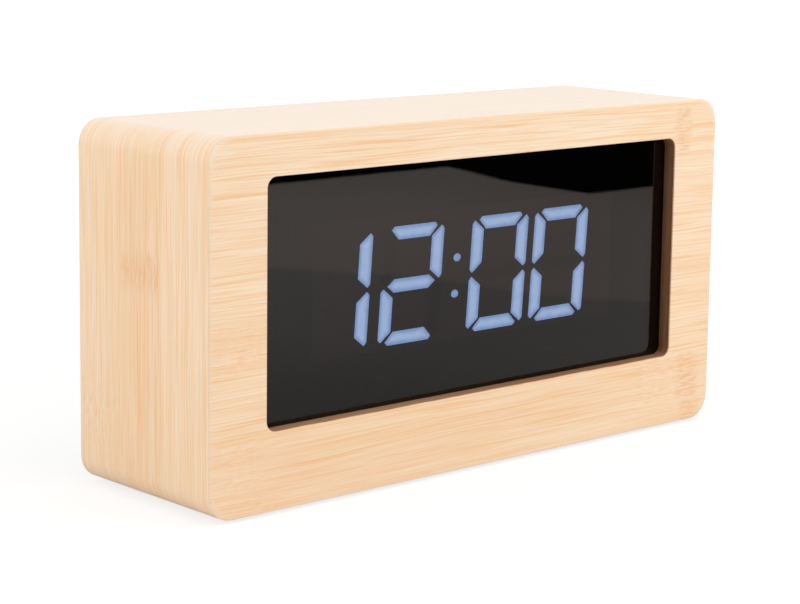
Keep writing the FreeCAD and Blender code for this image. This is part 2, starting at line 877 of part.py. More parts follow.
def make_cover():
    cover = plate(cavity_width - 2 * cover_fit, cavity_height - 2 * cover_fit, cover_corner,
                  cover_front, cover_back, 0, case_middle)
    tub = plate(tub_length + 2 * tub_wall, tub_height + 2 * tub_wall, 0,
                tub_floor - tub_wall, cover_front, tub_x, tub_z)
    bosses = [rod(x, z, boss_radius, circuit_back, cover_front) for x, z in circuit_screw_centres()]
    cover = cover.fuse(cover_ribs() + [tub] + bosses)

    cuts = [plate(tub_length, tub_height, 0, tub_floor, cover_back, tub_x, tub_z)]
    cuts.append(block(door_left - door_fit, door_right + door_fit,
                      door_front - door_rest_gap, cover_back,
                      door_bottom - door_fit, door_top + door_fit))
    scoop = rod(tub_x, door_top, scoop_radius, cover_back - scoop_depth, cover_back)
    cuts.append(scoop)
    reach = peg_length + peg_end_gap
    hole_left = FreeCAD.Vector(door_left - reach, hinge_y, hinge_z)
    hole_length = door_right - door_left + 2 * reach
    cuts.append(Part.makeCylinder(peg_radius + peg_fit, hole_length, hole_left, ALONG))
    for number in range(len(BUTTONS)):
        cuts.append(rod(button_x(number), button_z, button_radius + button_fit,
                        cover_front, cover_back))
    cuts.append(switch_slot(switch_x, cover_front, cover_back, knob_fit))
    for number in range(slot_count):
        x = sounder_x + (number - (slot_count - 1) / 2) * slot_pitch
        cuts.append(upright_stadium(x, socket_row_z, slot_length, slot_width, cover_front, cover_back))
    cuts.append(stadium(inlet_x, socket_row_z, inlet_width + 2 * inlet_fit,
                        inlet_height + 2 * inlet_fit, cover_front, cover_back))
    for x, z in block_centres():
        cuts.append(rod(x, z, rear_screw_radius + screw_fit, cover_front, cover_back))
    depth = small_screw_length - circuit_thickness
    for x, z in circuit_screw_centres():
        cuts.append(rod(x, z, small_screw_radius + pilot_fit, circuit_back, circuit_back + depth))
    save("rear_cover", cover.cut(cuts).removeSplitter())

    screws = [screw(x, z, cover_back, -1, rear_screw_radius, rear_screw_length,
                    rear_head_radius, rear_head_height) for x, z in block_centres()]
    save("rear_screws", *screws)


def make_door():
    """The battery door: its lower edge is a round bead with a peg at each end."""
    panel = block(door_left, door_right, door_front, cover_back, hinge_z, door_top)
    bead_start = FreeCAD.Vector(door_left, hinge_y, hinge_z)
    bead = Part.makeCylinder(door_thickness / 2, door_right - door_left, bead_start, ALONG)
    peg_start = FreeCAD.Vector(door_left - peg_length, hinge_y, hinge_z)
    pegs = Part.makeCylinder(peg_radius, door_right - door_left + 2 * peg_length, peg_start, ALONG)
    grips = []
    for number in range(grip_count):
        z = door_top - scoop_radius / 2 - number * grip_pitch
        grips.append(block(tub_x - grip_length / 2, tub_x + grip_length / 2, cover_back,
                           cover_back + grip_height, z - grip_width / 2, z + grip_width / 2))
    door = panel.fuse([bead, pegs] + grips)
    slots = []
    for side in (-1, 1):
        x = tub_x + side * latch_width / 2
        slots.append(block(x - latch_slot / 2, x + latch_slot / 2, door_front, cover_back,
                           door_top - latch_length, door_top))
    save("battery_door", door.cut(slots).removeSplitter())


def cell_solid(z, toward):
    """A cell along X with its nub towards -1 or 1."""
    spring_end = tub_x - toward * (tub_length / 2 - spring_reach)
    can_end = spring_end + toward * (cell_length - cell_nub_length)
    start = FreeCAD.Vector(min(spring_end, can_end), cell_y, z)
    can = Part.makeCylinder(cell_radius, cell_length - cell_nub_length, start, ALONG)
    nub_end = can_end + toward * cell_nub_length
    nub_start = FreeCAD.Vector(min(can_end, nub_end), cell_y, z)
    nub = Part.makeCylinder(cell_nub_radius, cell_nub_length, nub_start, ALONG)
    return can.fuse(nub).removeSplitter()


def spring_contact(z, toward):
    """A leaf bent to a point, standing on the tub's end wall that the flat end faces."""
    wall = tub_x - toward * tub_length / 2
    tip = wall + toward * spring_reach
    bend = tip - toward * contact_thickness
    half = contact_height / 2
    points = [(wall, -half), (tip, 0), (wall, half),
              (wall, half - contact_thickness), (bend, 0), (wall, contact_thickness - half)]
    corners = [FreeCAD.Vector(x, cell_y + y, z - contact_width / 2) for x, y in points]
    face = Part.Face(Part.makePolygon(corners + corners[:1]))
    return face.extrude(FreeCAD.Vector(0, 0, contact_width))


def plate_contact(z, toward):
    wall = tub_x + toward * tub_length / 2
    inner = wall - toward * contact_thickness
    half = contact_height / 2
    return block(min(wall, inner), max(wall, inner), cell_y - half, cell_y + half,
                 z - contact_width / 2, z + contact_width / 2)


def make_cells():
    springs = []
    plates = []
    for number in range(cell_count):
        z = tub_z + (number - (cell_count - 1) / 2) * cell_pitch
        toward = 1 if number % 2 == 0 else -1
        save("cell_%d" % (number + 1), cell_solid(z, toward))
        springs.append(spring_contact(z, toward))
        plates.append(plate_contact(z, toward))
    save("spring_contacts", *springs)
    save("plate_contacts", *plates)


def make_leads():
    """Two wires from the tub's end wall to the main board: a run, a bend, a landing."""
    start_x = tub_x - tub_length / 2 - tub_wall
    y = circuit_back + lead_standoff
    end_x = circuit_right - lead_landing
    bend_x = end_x + lead_standoff
    for name, side in (("lead_positive", 1), ("lead_negative", -1)):
        z = tub_z + side * lead_spacing / 2
        start = FreeCAD.Vector(start_x, y, z)
        bend = FreeCAD.Vector(bend_x, y, z)
        turn = 1 - math.sqrt(0.5)
        middle = FreeCAD.Vector(bend_x - lead_standoff * math.sqrt(0.5),
                                y - lead_standoff * turn, z)
        end = FreeCAD.Vector(end_x, circuit_back, z)
        path = Part.Wire([Part.makeLine(start, bend), Part.Arc(bend, middle, end).toShape()])
        circle = Part.Wire([Part.makeCircle(lead_radius, start, ALONG)])
        save(name, path.makePipeShell([circle], True, False))


make_case()
make_lens()
make_display()
make_main_board()
make_inlet()
make_ribbon()
make_buttons()
make_slide_switch()
make_cover()
make_door()
make_cells()
make_leads()
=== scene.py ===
"""Looks of a table clock: bamboo case, smoked lens, lit digits, moulded back.

Metres in Blender; the sizes below are in millimetres, in the CAD model's frame:
X to the right along the front, Y from the front to the back, Z up from the feet.
"""
import math

import bmesh
import bpy
from mathutils import Matrix, Vector


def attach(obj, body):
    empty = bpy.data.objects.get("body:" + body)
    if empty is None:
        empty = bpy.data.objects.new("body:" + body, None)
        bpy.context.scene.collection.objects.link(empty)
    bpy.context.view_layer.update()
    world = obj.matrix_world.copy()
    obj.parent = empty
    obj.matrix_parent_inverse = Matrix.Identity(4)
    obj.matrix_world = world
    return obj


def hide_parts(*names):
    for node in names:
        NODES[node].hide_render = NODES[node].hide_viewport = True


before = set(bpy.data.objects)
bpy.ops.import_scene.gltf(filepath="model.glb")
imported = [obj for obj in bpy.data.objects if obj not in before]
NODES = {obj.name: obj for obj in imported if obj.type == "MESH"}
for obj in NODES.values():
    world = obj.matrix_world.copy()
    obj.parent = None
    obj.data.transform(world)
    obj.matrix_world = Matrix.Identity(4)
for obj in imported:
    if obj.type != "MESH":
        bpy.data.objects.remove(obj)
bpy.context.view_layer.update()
MM = 0.001

# Case, as in the CAD model
CASE_WIDTH = 250.0
CASE_HEIGHT = 128.0
CASE_DEPTH = 75.0
CASE_LOW = 1.2
CASE_MIDDLE = CASE_LOW + CASE_HEIGHT / 2
CORNER_RADIUS = 9.0
CORNER_BEND = CORNER_RADIUS * math.pi / 2
VENEER = 0.6
SEAM = 0.3
FRONT = -CASE_DEPTH / 2
BACK = CASE_DEPTH / 2
PANEL_FRONT = FRONT + VENEER

# Worn edges of the veneers and of the battery door, whose paler edges are partly a painted highlight
FRONT_ARRIS = 0.30
ARRIS_CUT = 0.29
WRAP_ARRIS = 0.22
WRAP_HOLD = 12.0
DOOR_WEAR = 0.18
WELD_GAP = 0.002
SHARP_ANGLE = 40.0

# The wrapped veneer's own grain map: 0 at the left side's middle, then up and over the top
LEFT_MIDDLE = CASE_WIDTH / 2 - CORNER_RADIUS + CORNER_BEND + CASE_HEIGHT / 2 - CORNER_RADIUS
TOP_START = CASE_HEIGHT / 2 - CORNER_RADIUS + CORNER_BEND
TOP_END = TOP_START + CASE_WIDTH - 2 * CORNER_RADIUS

# What the rim attribute says far from any outline, and how dark the glue line at the front is
WIDE = 20.0
GLUE_DARK = 0.7

# Window
WINDOW_WIDTH = 202.5
WINDOW_HEIGHT = 86.0
WINDOW_MIDDLE = 71.7
WINDOW_RADIUS = 3.8
LENS_AIR = 0.03

# Display
REFLECTOR_FRONT = -29.3
FILL_DEPTH = 3.0
DIGIT_WIDTH = 28.8
DIGIT_HEIGHT = 42.25
DIGIT_PITCH = 32.15
DISPLAY_X = -1.45
DISPLAY_WIDTH = 149.25
TENS_ROOM = 11.8
TENS_GAP = 1.8
DIGIT_Z = 70.7
DIGIT_SLANT = 4.2
COLON_ROOM = 10.6
UPRIGHT_STROKE = 5.9
LEVEL_STROKE = 4.8
SEGMENT_GAP = 1.05
SEGMENT_CLIP = 1.25
TIP_GAP = 0.65
WAIST_GAP = 1.75
COLON_HALF_WIDTH = 1.8
COLON_HALF_HEIGHT = 1.45
COLON_SPACING = 13.2
COLON_RISE = 0.6
COLON_SHIFT = 0.3
DOT_STEPS = 24
BAR_CORNER = 0.36
BAR_CORNER_FALL = 0.1
SIDE_SHARE = 0.4
BAR_DOME = 0.12

# A bar's rings, as (how far in, how bright), and a dot's, as (share of its size, how bright)
BAR_RINGS = [(0.0, 0.0), (0.5, 0.12), (1.0, 0.42), (1.5, 0.78), (1.9, 0.95)]
DOT_RINGS = [(1.0, 0.0), (0.7, 0.12), (0.4, 0.22)]

# Light of the bars, from their edges to their middles
LIT_EDGE = (0.225, 0.37, 0.74)
LIT_MIDDLE = (0.43, 0.62, 1.0)
LIT_STRENGTH = 10.4
# Painted glow on the plastic round the bars, for the light they spill on it
SPILL = (1.0, 0.50, 0.66)
SPILL_STRENGTH = 0.06

# Rear and inside
SYMBOL_START = 37.1
CELL_MIDDLE = 61.85
CELL_NUB = 19.3
CELL_BAND = 8.0
CELL_RING = 7.3
CAN_STRIPE = 81.0
RIBBON_PITCH = 1.27
RIBBON_FIRST = -34.8

# Camera, fitted to the photograph
CAMERA_PLACE = (-555.647, -603.773, 207.828)
CAMERA_YAW = 0.7363022
CAMERA_PITCH = 0.1550900
CAMERA_ROLL = 0.0132928
CAMERA_LENS = 100.238
CAMERA_SENSOR = 36.0
CAMERA_SHIFT = -0.0775
CAMERA_NEAR = 10.0
CAMERA_FAR = 50000.0

# Studio
FLOOR_HALF = 6000.0
FLOOR_WHITE = (0.80, 0.80, 0.80)
SHADOW_WHITE = (0.28, 0.275, 0.27)
WORLD_LEVEL = 0.62
LAMP_AIM = (0.0, 0.0, 60.0)
LAMPS = [
    ("overhead", (100.0, -250.0, 1500.0), 1200.0, 6.3),
    ("front_right", (900.0, -1300.0, 700.0), 900.0, 9.8),
    ("left", (-1500.0, 100.0, 600.0), 1000.0, 6.6),
]

# The table as the glossy front mirrors it: the way out from the clock, its levels and tints
OUTWARD_X = 0.839
OUTWARD_Y = 0.545
NEAR_LEVEL = 0.775
NEAR_TINT = (1.0, 0.965, 0.90)
FAR_TINT = (1.0, 0.89, 0.81)
TABLE_END = 394.0
TABLE_END_SOFT = 18.0
TABLE_END_STEP = 34.0
SCREEN_LEFT = 592.0
SCREEN_SOFT = 14.0
SCREEN_NEAR = -526.0
SCREEN_FAR = -700.0
SCREEN_DARK = 0.985


# Node trees

# The two colour inputs of a Mix node
FIRST_COLOUR = 6
SECOND_COLOUR = 7


class Graph:
    """The node tree of a new material, or of a new world, with short calls for its nodes."""

    def __init__(self, name, of_world=False):
        home = bpy.data.worlds if of_world else bpy.data.materials
        self.owner = home.new(name)
        self.owner.use_nodes = True
        self.tree = self.owner.node_tree
        self.tree.nodes.clear()
        self.output = self.node("OutputWorld" if of_world else "OutputMaterial")

    def node(self, kind, **settings):
        made = self.tree.nodes.new("ShaderNode" + kind)
        for name, value in settings.items():
            setattr(made, name, value)
        return made

    def feed(self, socket, value):
        """Link an output to the socket, or set a constant on it."""
        if isinstance(value, bpy.types.NodeSocket):
            self.tree.links.new(value, socket)
        elif socket.type == "RGBA" and len(value) == 3:
            socket.default_value = (*value, 1.0)
        else:
            socket.default_value = value

    def filled(self, kind, *values):
        """The first output of a node that has these values in its first inputs."""
        made = self.node(kind)
        for number, value in enumerate(values):
            self.feed(made.inputs[number], value)
        return made.outputs[0]

    def math(self, operation, a, b=0.0, clamp=False):
        made = self.node("Math", operation=operation, use_clamp=clamp)
        self.feed(made.inputs[0], a)
        self.feed(made.inputs[1], b)
        return made.outputs[0]

    def times(self, a, b):
        return self.math("MULTIPLY", a, b)

    def plus(self, a, b, clamp=False):
        return self.math("ADD", a, b, clamp)

    def minus(self, a, b):
        return self.math("SUBTRACT", a, b)

    def size(self, a):
        return self.math("ABSOLUTE", a)

    def most(self, a, b, clamp=False):
        return self.math("MAXIMUM", a, b, clamp)

    def all_but(self, value, share=1.0):
        """1 less a share of the value."""
        return self.minus(1.0, self.times(value, share))

    def in_millimetres(self, vector):
        scaled = self.node("VectorMath", operation="SCALE")
        self.feed(scaled.inputs[0], vector)
        self.feed(scaled.inputs["Scale"], 1 / MM)
        return scaled.outputs[0]

    def place(self):
        """The point being shaded, as it lies on its object."""
        return self.in_millimetres(self.node("TexCoord").outputs["Object"])

    def grain(self):
        """The point being shaded, as it lies on the veneer's grain map."""
        return self.in_millimetres(self.node("UVMap", uv_map="grain").outputs["UV"])

    def facing(self):
        """The three parts of the surface's normal."""
        return self.split(self.node("NewGeometry").outputs["Normal"])

    def marked(self, name):
        """What a mesh's own attribute says here."""
        return self.node("Attribute", attribute_name=name).outputs["Fac"]

    def split(self, vector):
        made = self.node("SeparateXYZ")
        self.feed(made.inputs[0], vector)
        return made.outputs[0], made.outputs[1], made.outputs[2]

    def join(self, x, y, z=0.0):
        return self.filled("CombineXYZ", x, y, z)

    def stretch(self, vector, scale):
        made = self.node("Mapping")
        self.feed(made.inputs["Vector"], vector)
        self.feed(made.inputs["Scale"], scale)
        return made.outputs[0]

    def noise(self, vector, scale=1.0, detail=2.0, roughness=0.5):
        made = self.node("TexNoise")
        self.feed(made.inputs["Vector"], vector)
        self.feed(made.inputs["Scale"], scale)
        self.feed(made.inputs["Detail"], detail)
        self.feed(made.inputs["Roughness"], roughness)
        return made.outputs["Fac"]

    def cells(self, vector, scale):
        made = self.node("TexVoronoi")
        self.feed(made.inputs["Vector"], vector)
        self.feed(made.inputs["Scale"], scale)
        return made.outputs["Distance"]

    def chance(self, value):
        """A fixed random number for each whole value."""
        made = self.node("TexWhiteNoise", noise_dimensions="1D")
        self.feed(made.inputs["W"], value)
        return made.outputs["Value"]

    def rise(self, value, low, high, to_low=0.0, to_high=1.0):
        """to_low up to low, to_high from high on, smooth between them."""
        made = self.node("MapRange", interpolation_type="SMOOTHSTEP")
        self.feed(made.inputs["Value"], value)
        self.feed(made.inputs["From Min"], low)
        self.feed(made.inputs["From Max"], high)
        self.feed(made.inputs["To Min"], to_low)
        self.feed(made.inputs["To Max"], to_high)
        return made.outputs["Result"]

    def near(self, value, middle, half, soft):
        """1 where value is within half of middle, falling to 0 over soft."""
        return self.rise(self.size(self.minus(value, middle)), half, half + soft, 1.0, 0.0)

    def mix(self, factor, a, b):
        made = self.node("Mix", data_type="RGBA", blend_type="MIX")
        self.feed(made.inputs["Factor"], factor)
        self.feed(made.inputs[FIRST_COLOUR], a)
        self.feed(made.inputs[SECOND_COLOUR], b)
        return made.outputs[2]

    def coat(self, colour, *coats):
        """The colour under coats of (how much, colour), the last one on top."""
        for amount, tint in coats:
            colour = self.mix(amount, colour, tint)
        return colour

    def bump(self, height, distance, strength=1.0):
        """Height times distance, in millimetres."""
        made = self.node("Bump")
        self.feed(made.inputs["Height"], height)
        self.feed(made.inputs["Distance"], distance * MM)
        self.feed(made.inputs["Strength"], strength)
        return made.outputs["Normal"]

    def principled(self, **sockets):
        made = self.node("BsdfPrincipled")
        for name, value in sockets.items():
            self.feed(made.inputs[name.replace("_", " ")], value)
        return made.outputs[0]

    def show(self, shader):
        self.feed(self.output.inputs["Surface"], shader)
        return self.owner


def sheen_of(red, green, blue):
    """A colour as a picture shows it, in 255ths, as the linear one that Blender takes."""
    channels = []
    for channel in (red, green, blue):
        share = channel / 255
        channels.append(share / 12.92 if share <= 0.04045 else ((share + 0.055) / 1.055) ** 2.4)
    return tuple(channels)


# Bamboo

PALE_BAMBOO = sheen_of(250, 228, 201)
TAN_BAMBOO = sheen_of(246, 211, 173)
FIBRE = sheen_of(244, 189, 133)
FINE_FIBRE = sheen_of(245, 200, 150)
KNUCKLE = sheen_of(236, 180, 130)
SCORCH = sheen_of(176, 112, 70)
# Pale tint of the painted glare on the wrap's top and of the painted highlight band inside the front's
# outline
PAINTED_HIGHLIGHT = sheen_of(240, 224, 206)

# Half a glue line, the whole strips that keep a modulo above 0, and how much chance tans a
# strip and shifts its fibres along
GLUE_HALF = 0.15
STRIPS_BEFORE = 40
STRIP_CHANCE = 0.25
STRIP_SHIFT = 900.0
SHIFT_SEED = 31.7

# How far fibres wander and sway, in straight wood and in curls, and how ragged knuckles end
WANDER = 3.4
SWAY = 0.14
CURL_SWAY = 0.9
RAGGED = 7.0

# Shares of a knuckle and of a curl, along and across, that are plainly theirs
KNUCKLE_CORE = (0.25, 0.86)
CURL_CORE = (0.3, 0.8)

# Painted light and shade on the veneer: paler towards its high edge, paler along it, darker round its
# middle, a painted glare on top, a painted highlight band and a fine line at its rim
LOW_EDGE_SHADE = 0.24
FADE_REACH = 60.0
SHADE_CORE = 45.0
SHADE_REACH = 85.0
TOP_BEFORE = 16.0
TOP_AFTER = 4.0
RIM_BAND = 1.0
RIM_BAND_SOFT = 0.2
RIM_LINE = 0.9


def patches(g, along, across, spots, core_along, core_across):
    """1 in the cores of the spots, (along, across, half length, half width), 0 outside them."""
    found = 0.0
    for middle_along, middle_across, half_along, half_across in spots:
        lengthways = g.near(along, middle_along, half_along * core_along, half_along * (1 - core_along))
        sideways = g.near(across, middle_across, half_across * core_across, half_across * (1 - core_across))
        found = g.most(found, g.times(lengthways, sideways))
    return found


def strip_tones(g, along, across, width, start, strips):
    """How tan a strip is, how much it is lined, and where its own fibres lie along it."""
    strip = g.math("FLOOR", g.math("DIVIDE", g.minus(across, start), width))
    tone = g.times(g.chance(strip), STRIP_CHANCE)
    lined = 1.0
    for middle, tan, more in strips:
        here = g.near(across, middle, width / 2 - GLUE_HALF, 0.2)
        tone = g.plus(tone, g.times(here, tan))
        lined = g.plus(lined, g.times(here, more))
    along_own = g.plus(along, g.times(g.chance(g.plus(strip, SHIFT_SEED)), STRIP_SHIFT))
    return tone, lined, along_own


def glue_lines(g, across, width, start):
    """1 on the fine line between two strips."""
    offset = g.plus(g.minus(across, start), width * STRIPS_BEFORE)
    return g.rise(g.size(g.minus(g.math("MODULO", offset, width), GLUE_HALF)), 0.0, 0.22, 1.0, 0.0)


def bamboo(name, strip_width, strip_start, knuckles, curls, strips, low, high, light_falloff=0.0, shaded=0.0,
           top=0.0):
    """Pressed bamboo: strips side by side, fine long fibres, a knuckle here and there.

    Knuckles and curls are (along, across, half length, half width) and strips are
    (middle, how tan, how much more lined), in millimetres on the veneer's own grain map.
    The veneer grows paler from low to high across it and along it by the fall-off given, and darker round
    the middle of its length by shaded: painted light and shade. By top it takes a painted glare where the
    wrapped veneer lies on top, and a painted highlight band runs inside the front's outline."""
    g = Graph(name)
    along, across, _ = g.split(g.grain())
    wave = g.noise(g.join(g.times(along, 0.011), g.times(across, 0.035)), detail=1.0)
    wave = g.times(g.minus(wave, 0.5), WANDER)
    shaky = g.minus(g.noise(g.join(g.times(along, 0.16), g.times(across, 0.35))), 0.5)

    tone, lined, along_own = strip_tones(g, along, across, strip_width, strip_start, strips)
    # Painted light from above: tan at the low edge, paler towards the high edge
    tone = g.plus(tone, g.rise(across, low, high, LOW_EDGE_SHADE, 0.0))
    # Painted light: tan towards the start of its length, paler towards its end
    tone = g.plus(tone, g.rise(along, -FADE_REACH, FADE_REACH, light_falloff, 0.0))
    # Painted shade: darker round the middle of its length, on the wrap's left side
    tone = g.plus(tone, g.rise(g.size(along), SHADE_CORE, SHADE_REACH, shaded, 0.0), clamp=True)

    ragged = g.plus(along, g.times(shaky, RAGGED))
    knuckle = patches(g, ragged, across, knuckles, *KNUCKLE_CORE)
    curl = g.most(knuckle, patches(g, along, across, curls, *CURL_CORE))

    sway = g.times(shaky, g.plus(SWAY, g.times(curl, CURL_SWAY)))
    lane = g.plus(g.plus(across, wave), sway)

    def fibres(step_along, step_across, start, full, detail=2.0):
        spot = g.join(g.math("DIVIDE", along_own, step_along), g.math("DIVIDE", lane, step_across))
        return g.rise(g.noise(spot, detail=detail), start, full)

    broad = fibres(150.0, 4.5, 0.36, 0.66)
    dense = fibres(95.0, 2.9, 0.36, 0.62)
    coarse = fibres(58.0, 0.78, 0.48, 0.64, detail=1.5)
    fine = fibres(32.0, 0.44, 0.46, 0.66)
    short = fibres(4.6, 0.78, 0.46, 0.66)
    blotch = fibres(6.5, 0.62, 0.42, 0.62)

    rim = g.marked("rim")
    # Painted highlight: a pale band just inside the front's outline, its lines thinned
    band = g.rise(rim, RIM_BAND - RIM_BAND_SOFT, RIM_BAND + RIM_BAND_SOFT, 1.0, 0.0)
    # Painted glare on the wrap's top, paler and with its grain washed out, as light from above would show
    # it
    top_glare = g.times(g.rise(along, TOP_START - TOP_BEFORE, TOP_START + TOP_AFTER, 0.0, top),
                       g.rise(along, TOP_END - TOP_AFTER, TOP_END + TOP_BEFORE, 1.0, 0.0))
    plain = g.all_but(curl, 0.40)
    # The painted highlight band and the top's painted glare wash the lines out
    plain = g.times(plain, g.all_but(band, 0.55))
    plain = g.times(plain, g.all_but(top_glare, 0.78))
    lines = g.times(coarse, g.plus(0.22, g.times(dense, 0.34)))
    lines = g.times(lines, lined)
    seam = glue_lines(g, across, strip_width, strip_start)
    patchy = g.rise(g.noise(g.join(g.times(along, 0.05), 0.0)), 0.40, 0.60, 0.35, 1.0)

    bare = g.mix(g.plus(tone, g.times(broad, 0.45), clamp=True), PALE_BAMBOO, TAN_BAMBOO)
    colour = g.coat(
        bare,
        # Painted glare on top, then the painted highlight band
        (g.times(top_glare, 0.85), PAINTED_HIGHLIGHT),
        (g.times(band, 0.3), PAINTED_HIGHLIGHT),
        (g.times(lines, plain), FIBRE),
        (g.times(g.times(fine, 0.66), plain), FINE_FIBRE),
        (g.times(g.times(short, curl), 0.46), FIBRE),
        (g.times(g.times(blotch, knuckle), 0.58), KNUCKLE),
        (g.times(knuckle, 0.10), KNUCKLE),
        (g.times(seam, 0.22), FIBRE),
        (g.times(g.near(rim, RIM_LINE, 0.05, 0.12), 0.2), FIBRE),
        (g.times(g.marked("scorch"), patchy), SCORCH))

    roughness = g.rise(g.plus(coarse, fine), 0.0, 2.0, 0.30, 0.42)
    relief = g.plus(g.times(coarse, -0.6), g.times(fine, -0.4))
    return g.show(g.principled(Base_Color=colour, Roughness=roughness, IOR=1.46,
                               Normal=g.bump(relief, 0.015, 0.6)))


# Other finishes

def scorched_and_shaded_fibreboard():
    """The window's cut edge: brown, scorched by the cutter, with painted light and shade: faces that look
    up paler, more so towards the left, and the walls darker deeper in.
    """
    g = Graph("scorched_and_shaded_fibreboard")
    place = g.place()
    x, depth, _ = g.split(place)
    _, _, upward = g.facing()
    speckle = g.noise(place, 2.4, detail=4.0, roughness=0.7)
    streak = g.noise(g.stretch(place, (0.12, 1.6, 0.12)))
    # Painted light: faces that look up take a paler colour than the walls
    level = g.rise(upward, 0.6, 0.9)
    steep = g.all_but(level, 0.7)
    # Painted shade: the walls darken deeper in, towards the lens
    inner = g.rise(depth, PANEL_FRONT + 1.6, PANEL_FRONT + 4.4, to_high=0.5)
    outer = g.rise(depth, PANEL_FRONT, PANEL_FRONT + 0.9, 0.55, 0.0)
    cut = g.mix(g.rise(speckle, 0.3, 0.7), sheen_of(110, 70, 42), sheen_of(158, 113, 76))
    # Painted light: the upward faces paler towards the left
    painted_lit_floor = g.mix(g.rise(x, -45.0, 40.0), sheen_of(192, 150, 114), sheen_of(166, 122, 88))
    colour = g.coat(
        cut,
        (g.rise(streak, 0.35, 0.75, to_high=0.45), sheen_of(92, 58, 36)),
        (g.times(level, 0.65), painted_lit_floor),
        (g.times(inner, steep), sheen_of(52, 32, 20)),
        (g.times(outer, steep), sheen_of(84, 52, 32)))
    return g.show(g.principled(Base_Color=colour, Roughness=0.85, Normal=g.bump(speckle, 0.05, 0.8)))


def fibreboard():
    """Sawn fibreboard: pale brown dust and fibres, with faint saw lines."""
    g = Graph("fibreboard")
    place = g.place()
    dust = g.noise(place, 3.2, detail=4.0, roughness=0.75)
    cloud = g.noise(place, 0.12)
    saw = g.noise(g.stretch(place, (0.35, 0.05, 0.35)), 2.0, detail=1.0)
    colour = g.coat(
        sheen_of(176, 140, 104),
        (g.rise(dust, 0.3, 0.7), sheen_of(206, 172, 134)),
        (g.rise(cloud, 0.35, 0.7, to_high=0.35), sheen_of(168, 128, 92)),
        (g.rise(saw, 0.55, 0.75, to_high=0.25), sheen_of(148, 108, 76)))
    return g.show(g.principled(Base_Color=colour, Roughness=0.88, Normal=g.bump(dust, 0.06)))


def softwood():
    """Sawn pine: long rings of early and late wood, and a little fuzz."""
    g = Graph("softwood")
    place = g.place()
    rings = g.noise(g.stretch(place, (0.9, 0.05, 0.9)), detail=3.0, roughness=0.6)
    fuzz = g.noise(place, 3.0, detail=3.0)
    colour = g.mix(g.rise(rings, 0.35, 0.65), sheen_of(226, 193, 146), sheen_of(196, 150, 100))
    normal = g.bump(g.plus(rings, g.times(fuzz, 0.3)), 0.08)
    return g.show(g.principled(Base_Color=colour, Roughness=0.75, Normal=normal))


def moulded(name, colour, roughness=0.5, grain=0.35, depth=0.02, shine=0.5):
    """Moulded plastic: a fine spark texture, and a slight unevenness in its gloss."""
    g = Graph(name)
    place = g.place()
    spark = g.noise(place, 1 / grain, roughness=0.6)
    cloud = g.noise(place, 0.05, detail=4.0, roughness=0.6)
    scuff = g.noise(g.stretch(place, (0.25, 1.0, 0.9)), 0.5, detail=3.0)
    tint = tuple(min(1.0, channel * 1.4 + 0.005) for channel in colour)
    shade = g.coat(
        colour,
        (g.times(g.rise(cloud, 0.3, 0.7), 0.6), tint),
        (g.rise(scuff, 0.60, 0.74, to_high=0.35), tint),
        (g.rise(spark, 0.55, 0.75, to_high=0.5), tint))
    gloss = g.rise(g.plus(cloud, g.times(scuff, 0.5)), 0.5, 1.0, roughness - 0.08, roughness + 0.10)
    return g.show(g.principled(Base_Color=shade, Roughness=gloss, Normal=g.bump(spark, depth),
                               Specular_IOR_Level=shine))


def painted_cap(name, colour, symbol_colour, symbol_start):
    """A moulded button cap; what stands behind symbol_start is printed, and a little worn."""
    g = Graph(name)
    place = g.place()
    _, depth, _ = g.split(place)
    spark = g.noise(place, 3.0, roughness=0.6)
    symbol = g.rise(depth, symbol_start - 0.02, symbol_start + 0.02)
    worn = g.rise(g.noise(place, 1.6, detail=3.0), 0.62, 0.72, to_high=0.35)
    shade = g.mix(symbol, colour, g.mix(worn, symbol_colour, colour))
    gloss = g.rise(spark, 0.3, 0.7, 0.38, 0.50)
    return g.show(g.principled(Base_Color=shade, Roughness=gloss, Normal=g.bump(spark, 0.015)))


def rubber():
    """Black rubber with some dust on it."""
    g = Graph("foot_rubber")
    place = g.place()
    grain = g.noise(place, 4.0, detail=3.0, roughness=0.7)
    dust = g.rise(g.noise(place, 0.5, detail=3.0), 0.5, 0.8, to_high=0.3)
    colour = g.mix(dust, sheen_of(38, 37, 36), sheen_of(92, 88, 82))
    return g.show(g.principled(Base_Color=colour, Roughness=0.88, Normal=g.bump(grain, 0.04)))


def smoked_lens():
    """Polished smoked acrylic, not quite flat."""
    g = Graph("smoked_acrylic")
    ripple = g.noise(g.place(), 0.03, detail=1.0)
    return g.show(g.principled(
        Base_Color=sheen_of(76, 74, 72), Roughness=0.0, IOR=1.5,
        Transmission_Weight=1.0, Normal=g.bump(ripple, 0.02, 0.4)))


def tape():
    """Black foam tape."""
    g = Graph("adhesive_tape")
    foam = g.cells(g.place(), 2.2)
    colour = g.mix(foam, sheen_of(14, 14, 14), sheen_of(30, 30, 31))
    return g.show(g.principled(Base_Color=colour, Roughness=0.8, Normal=g.bump(foam, 0.05)))


def lit_resin():
    """Milky resin over its light: brighter along the middle of each bar."""
    g = Graph("lit_resin")
    cloud = g.noise(g.place(), 0.35, detail=1.0)
    level = g.plus(g.marked("glow"), g.times(g.minus(cloud, 0.5), 0.5), clamp=True)
    return g.show(g.principled(
        Base_Color=sheen_of(120, 120, 118), Roughness=0.45,
        Emission_Color=g.mix(level, LIT_EDGE, LIT_MIDDLE), Emission_Strength=LIT_STRENGTH))


def unlit_resin():
    """The resin of a bar that is off: hardly paler than the plastic round it."""
    g = Graph("unlit_resin")
    cloud = g.noise(g.place(), 0.8)
    colour = g.mix(g.rise(cloud, 0.3, 0.7), sheen_of(27, 26, 25), sheen_of(31, 30, 29))
    return g.show(g.principled(Base_Color=colour, Roughness=0.5, Normal=g.bump(cloud, 0.02)))


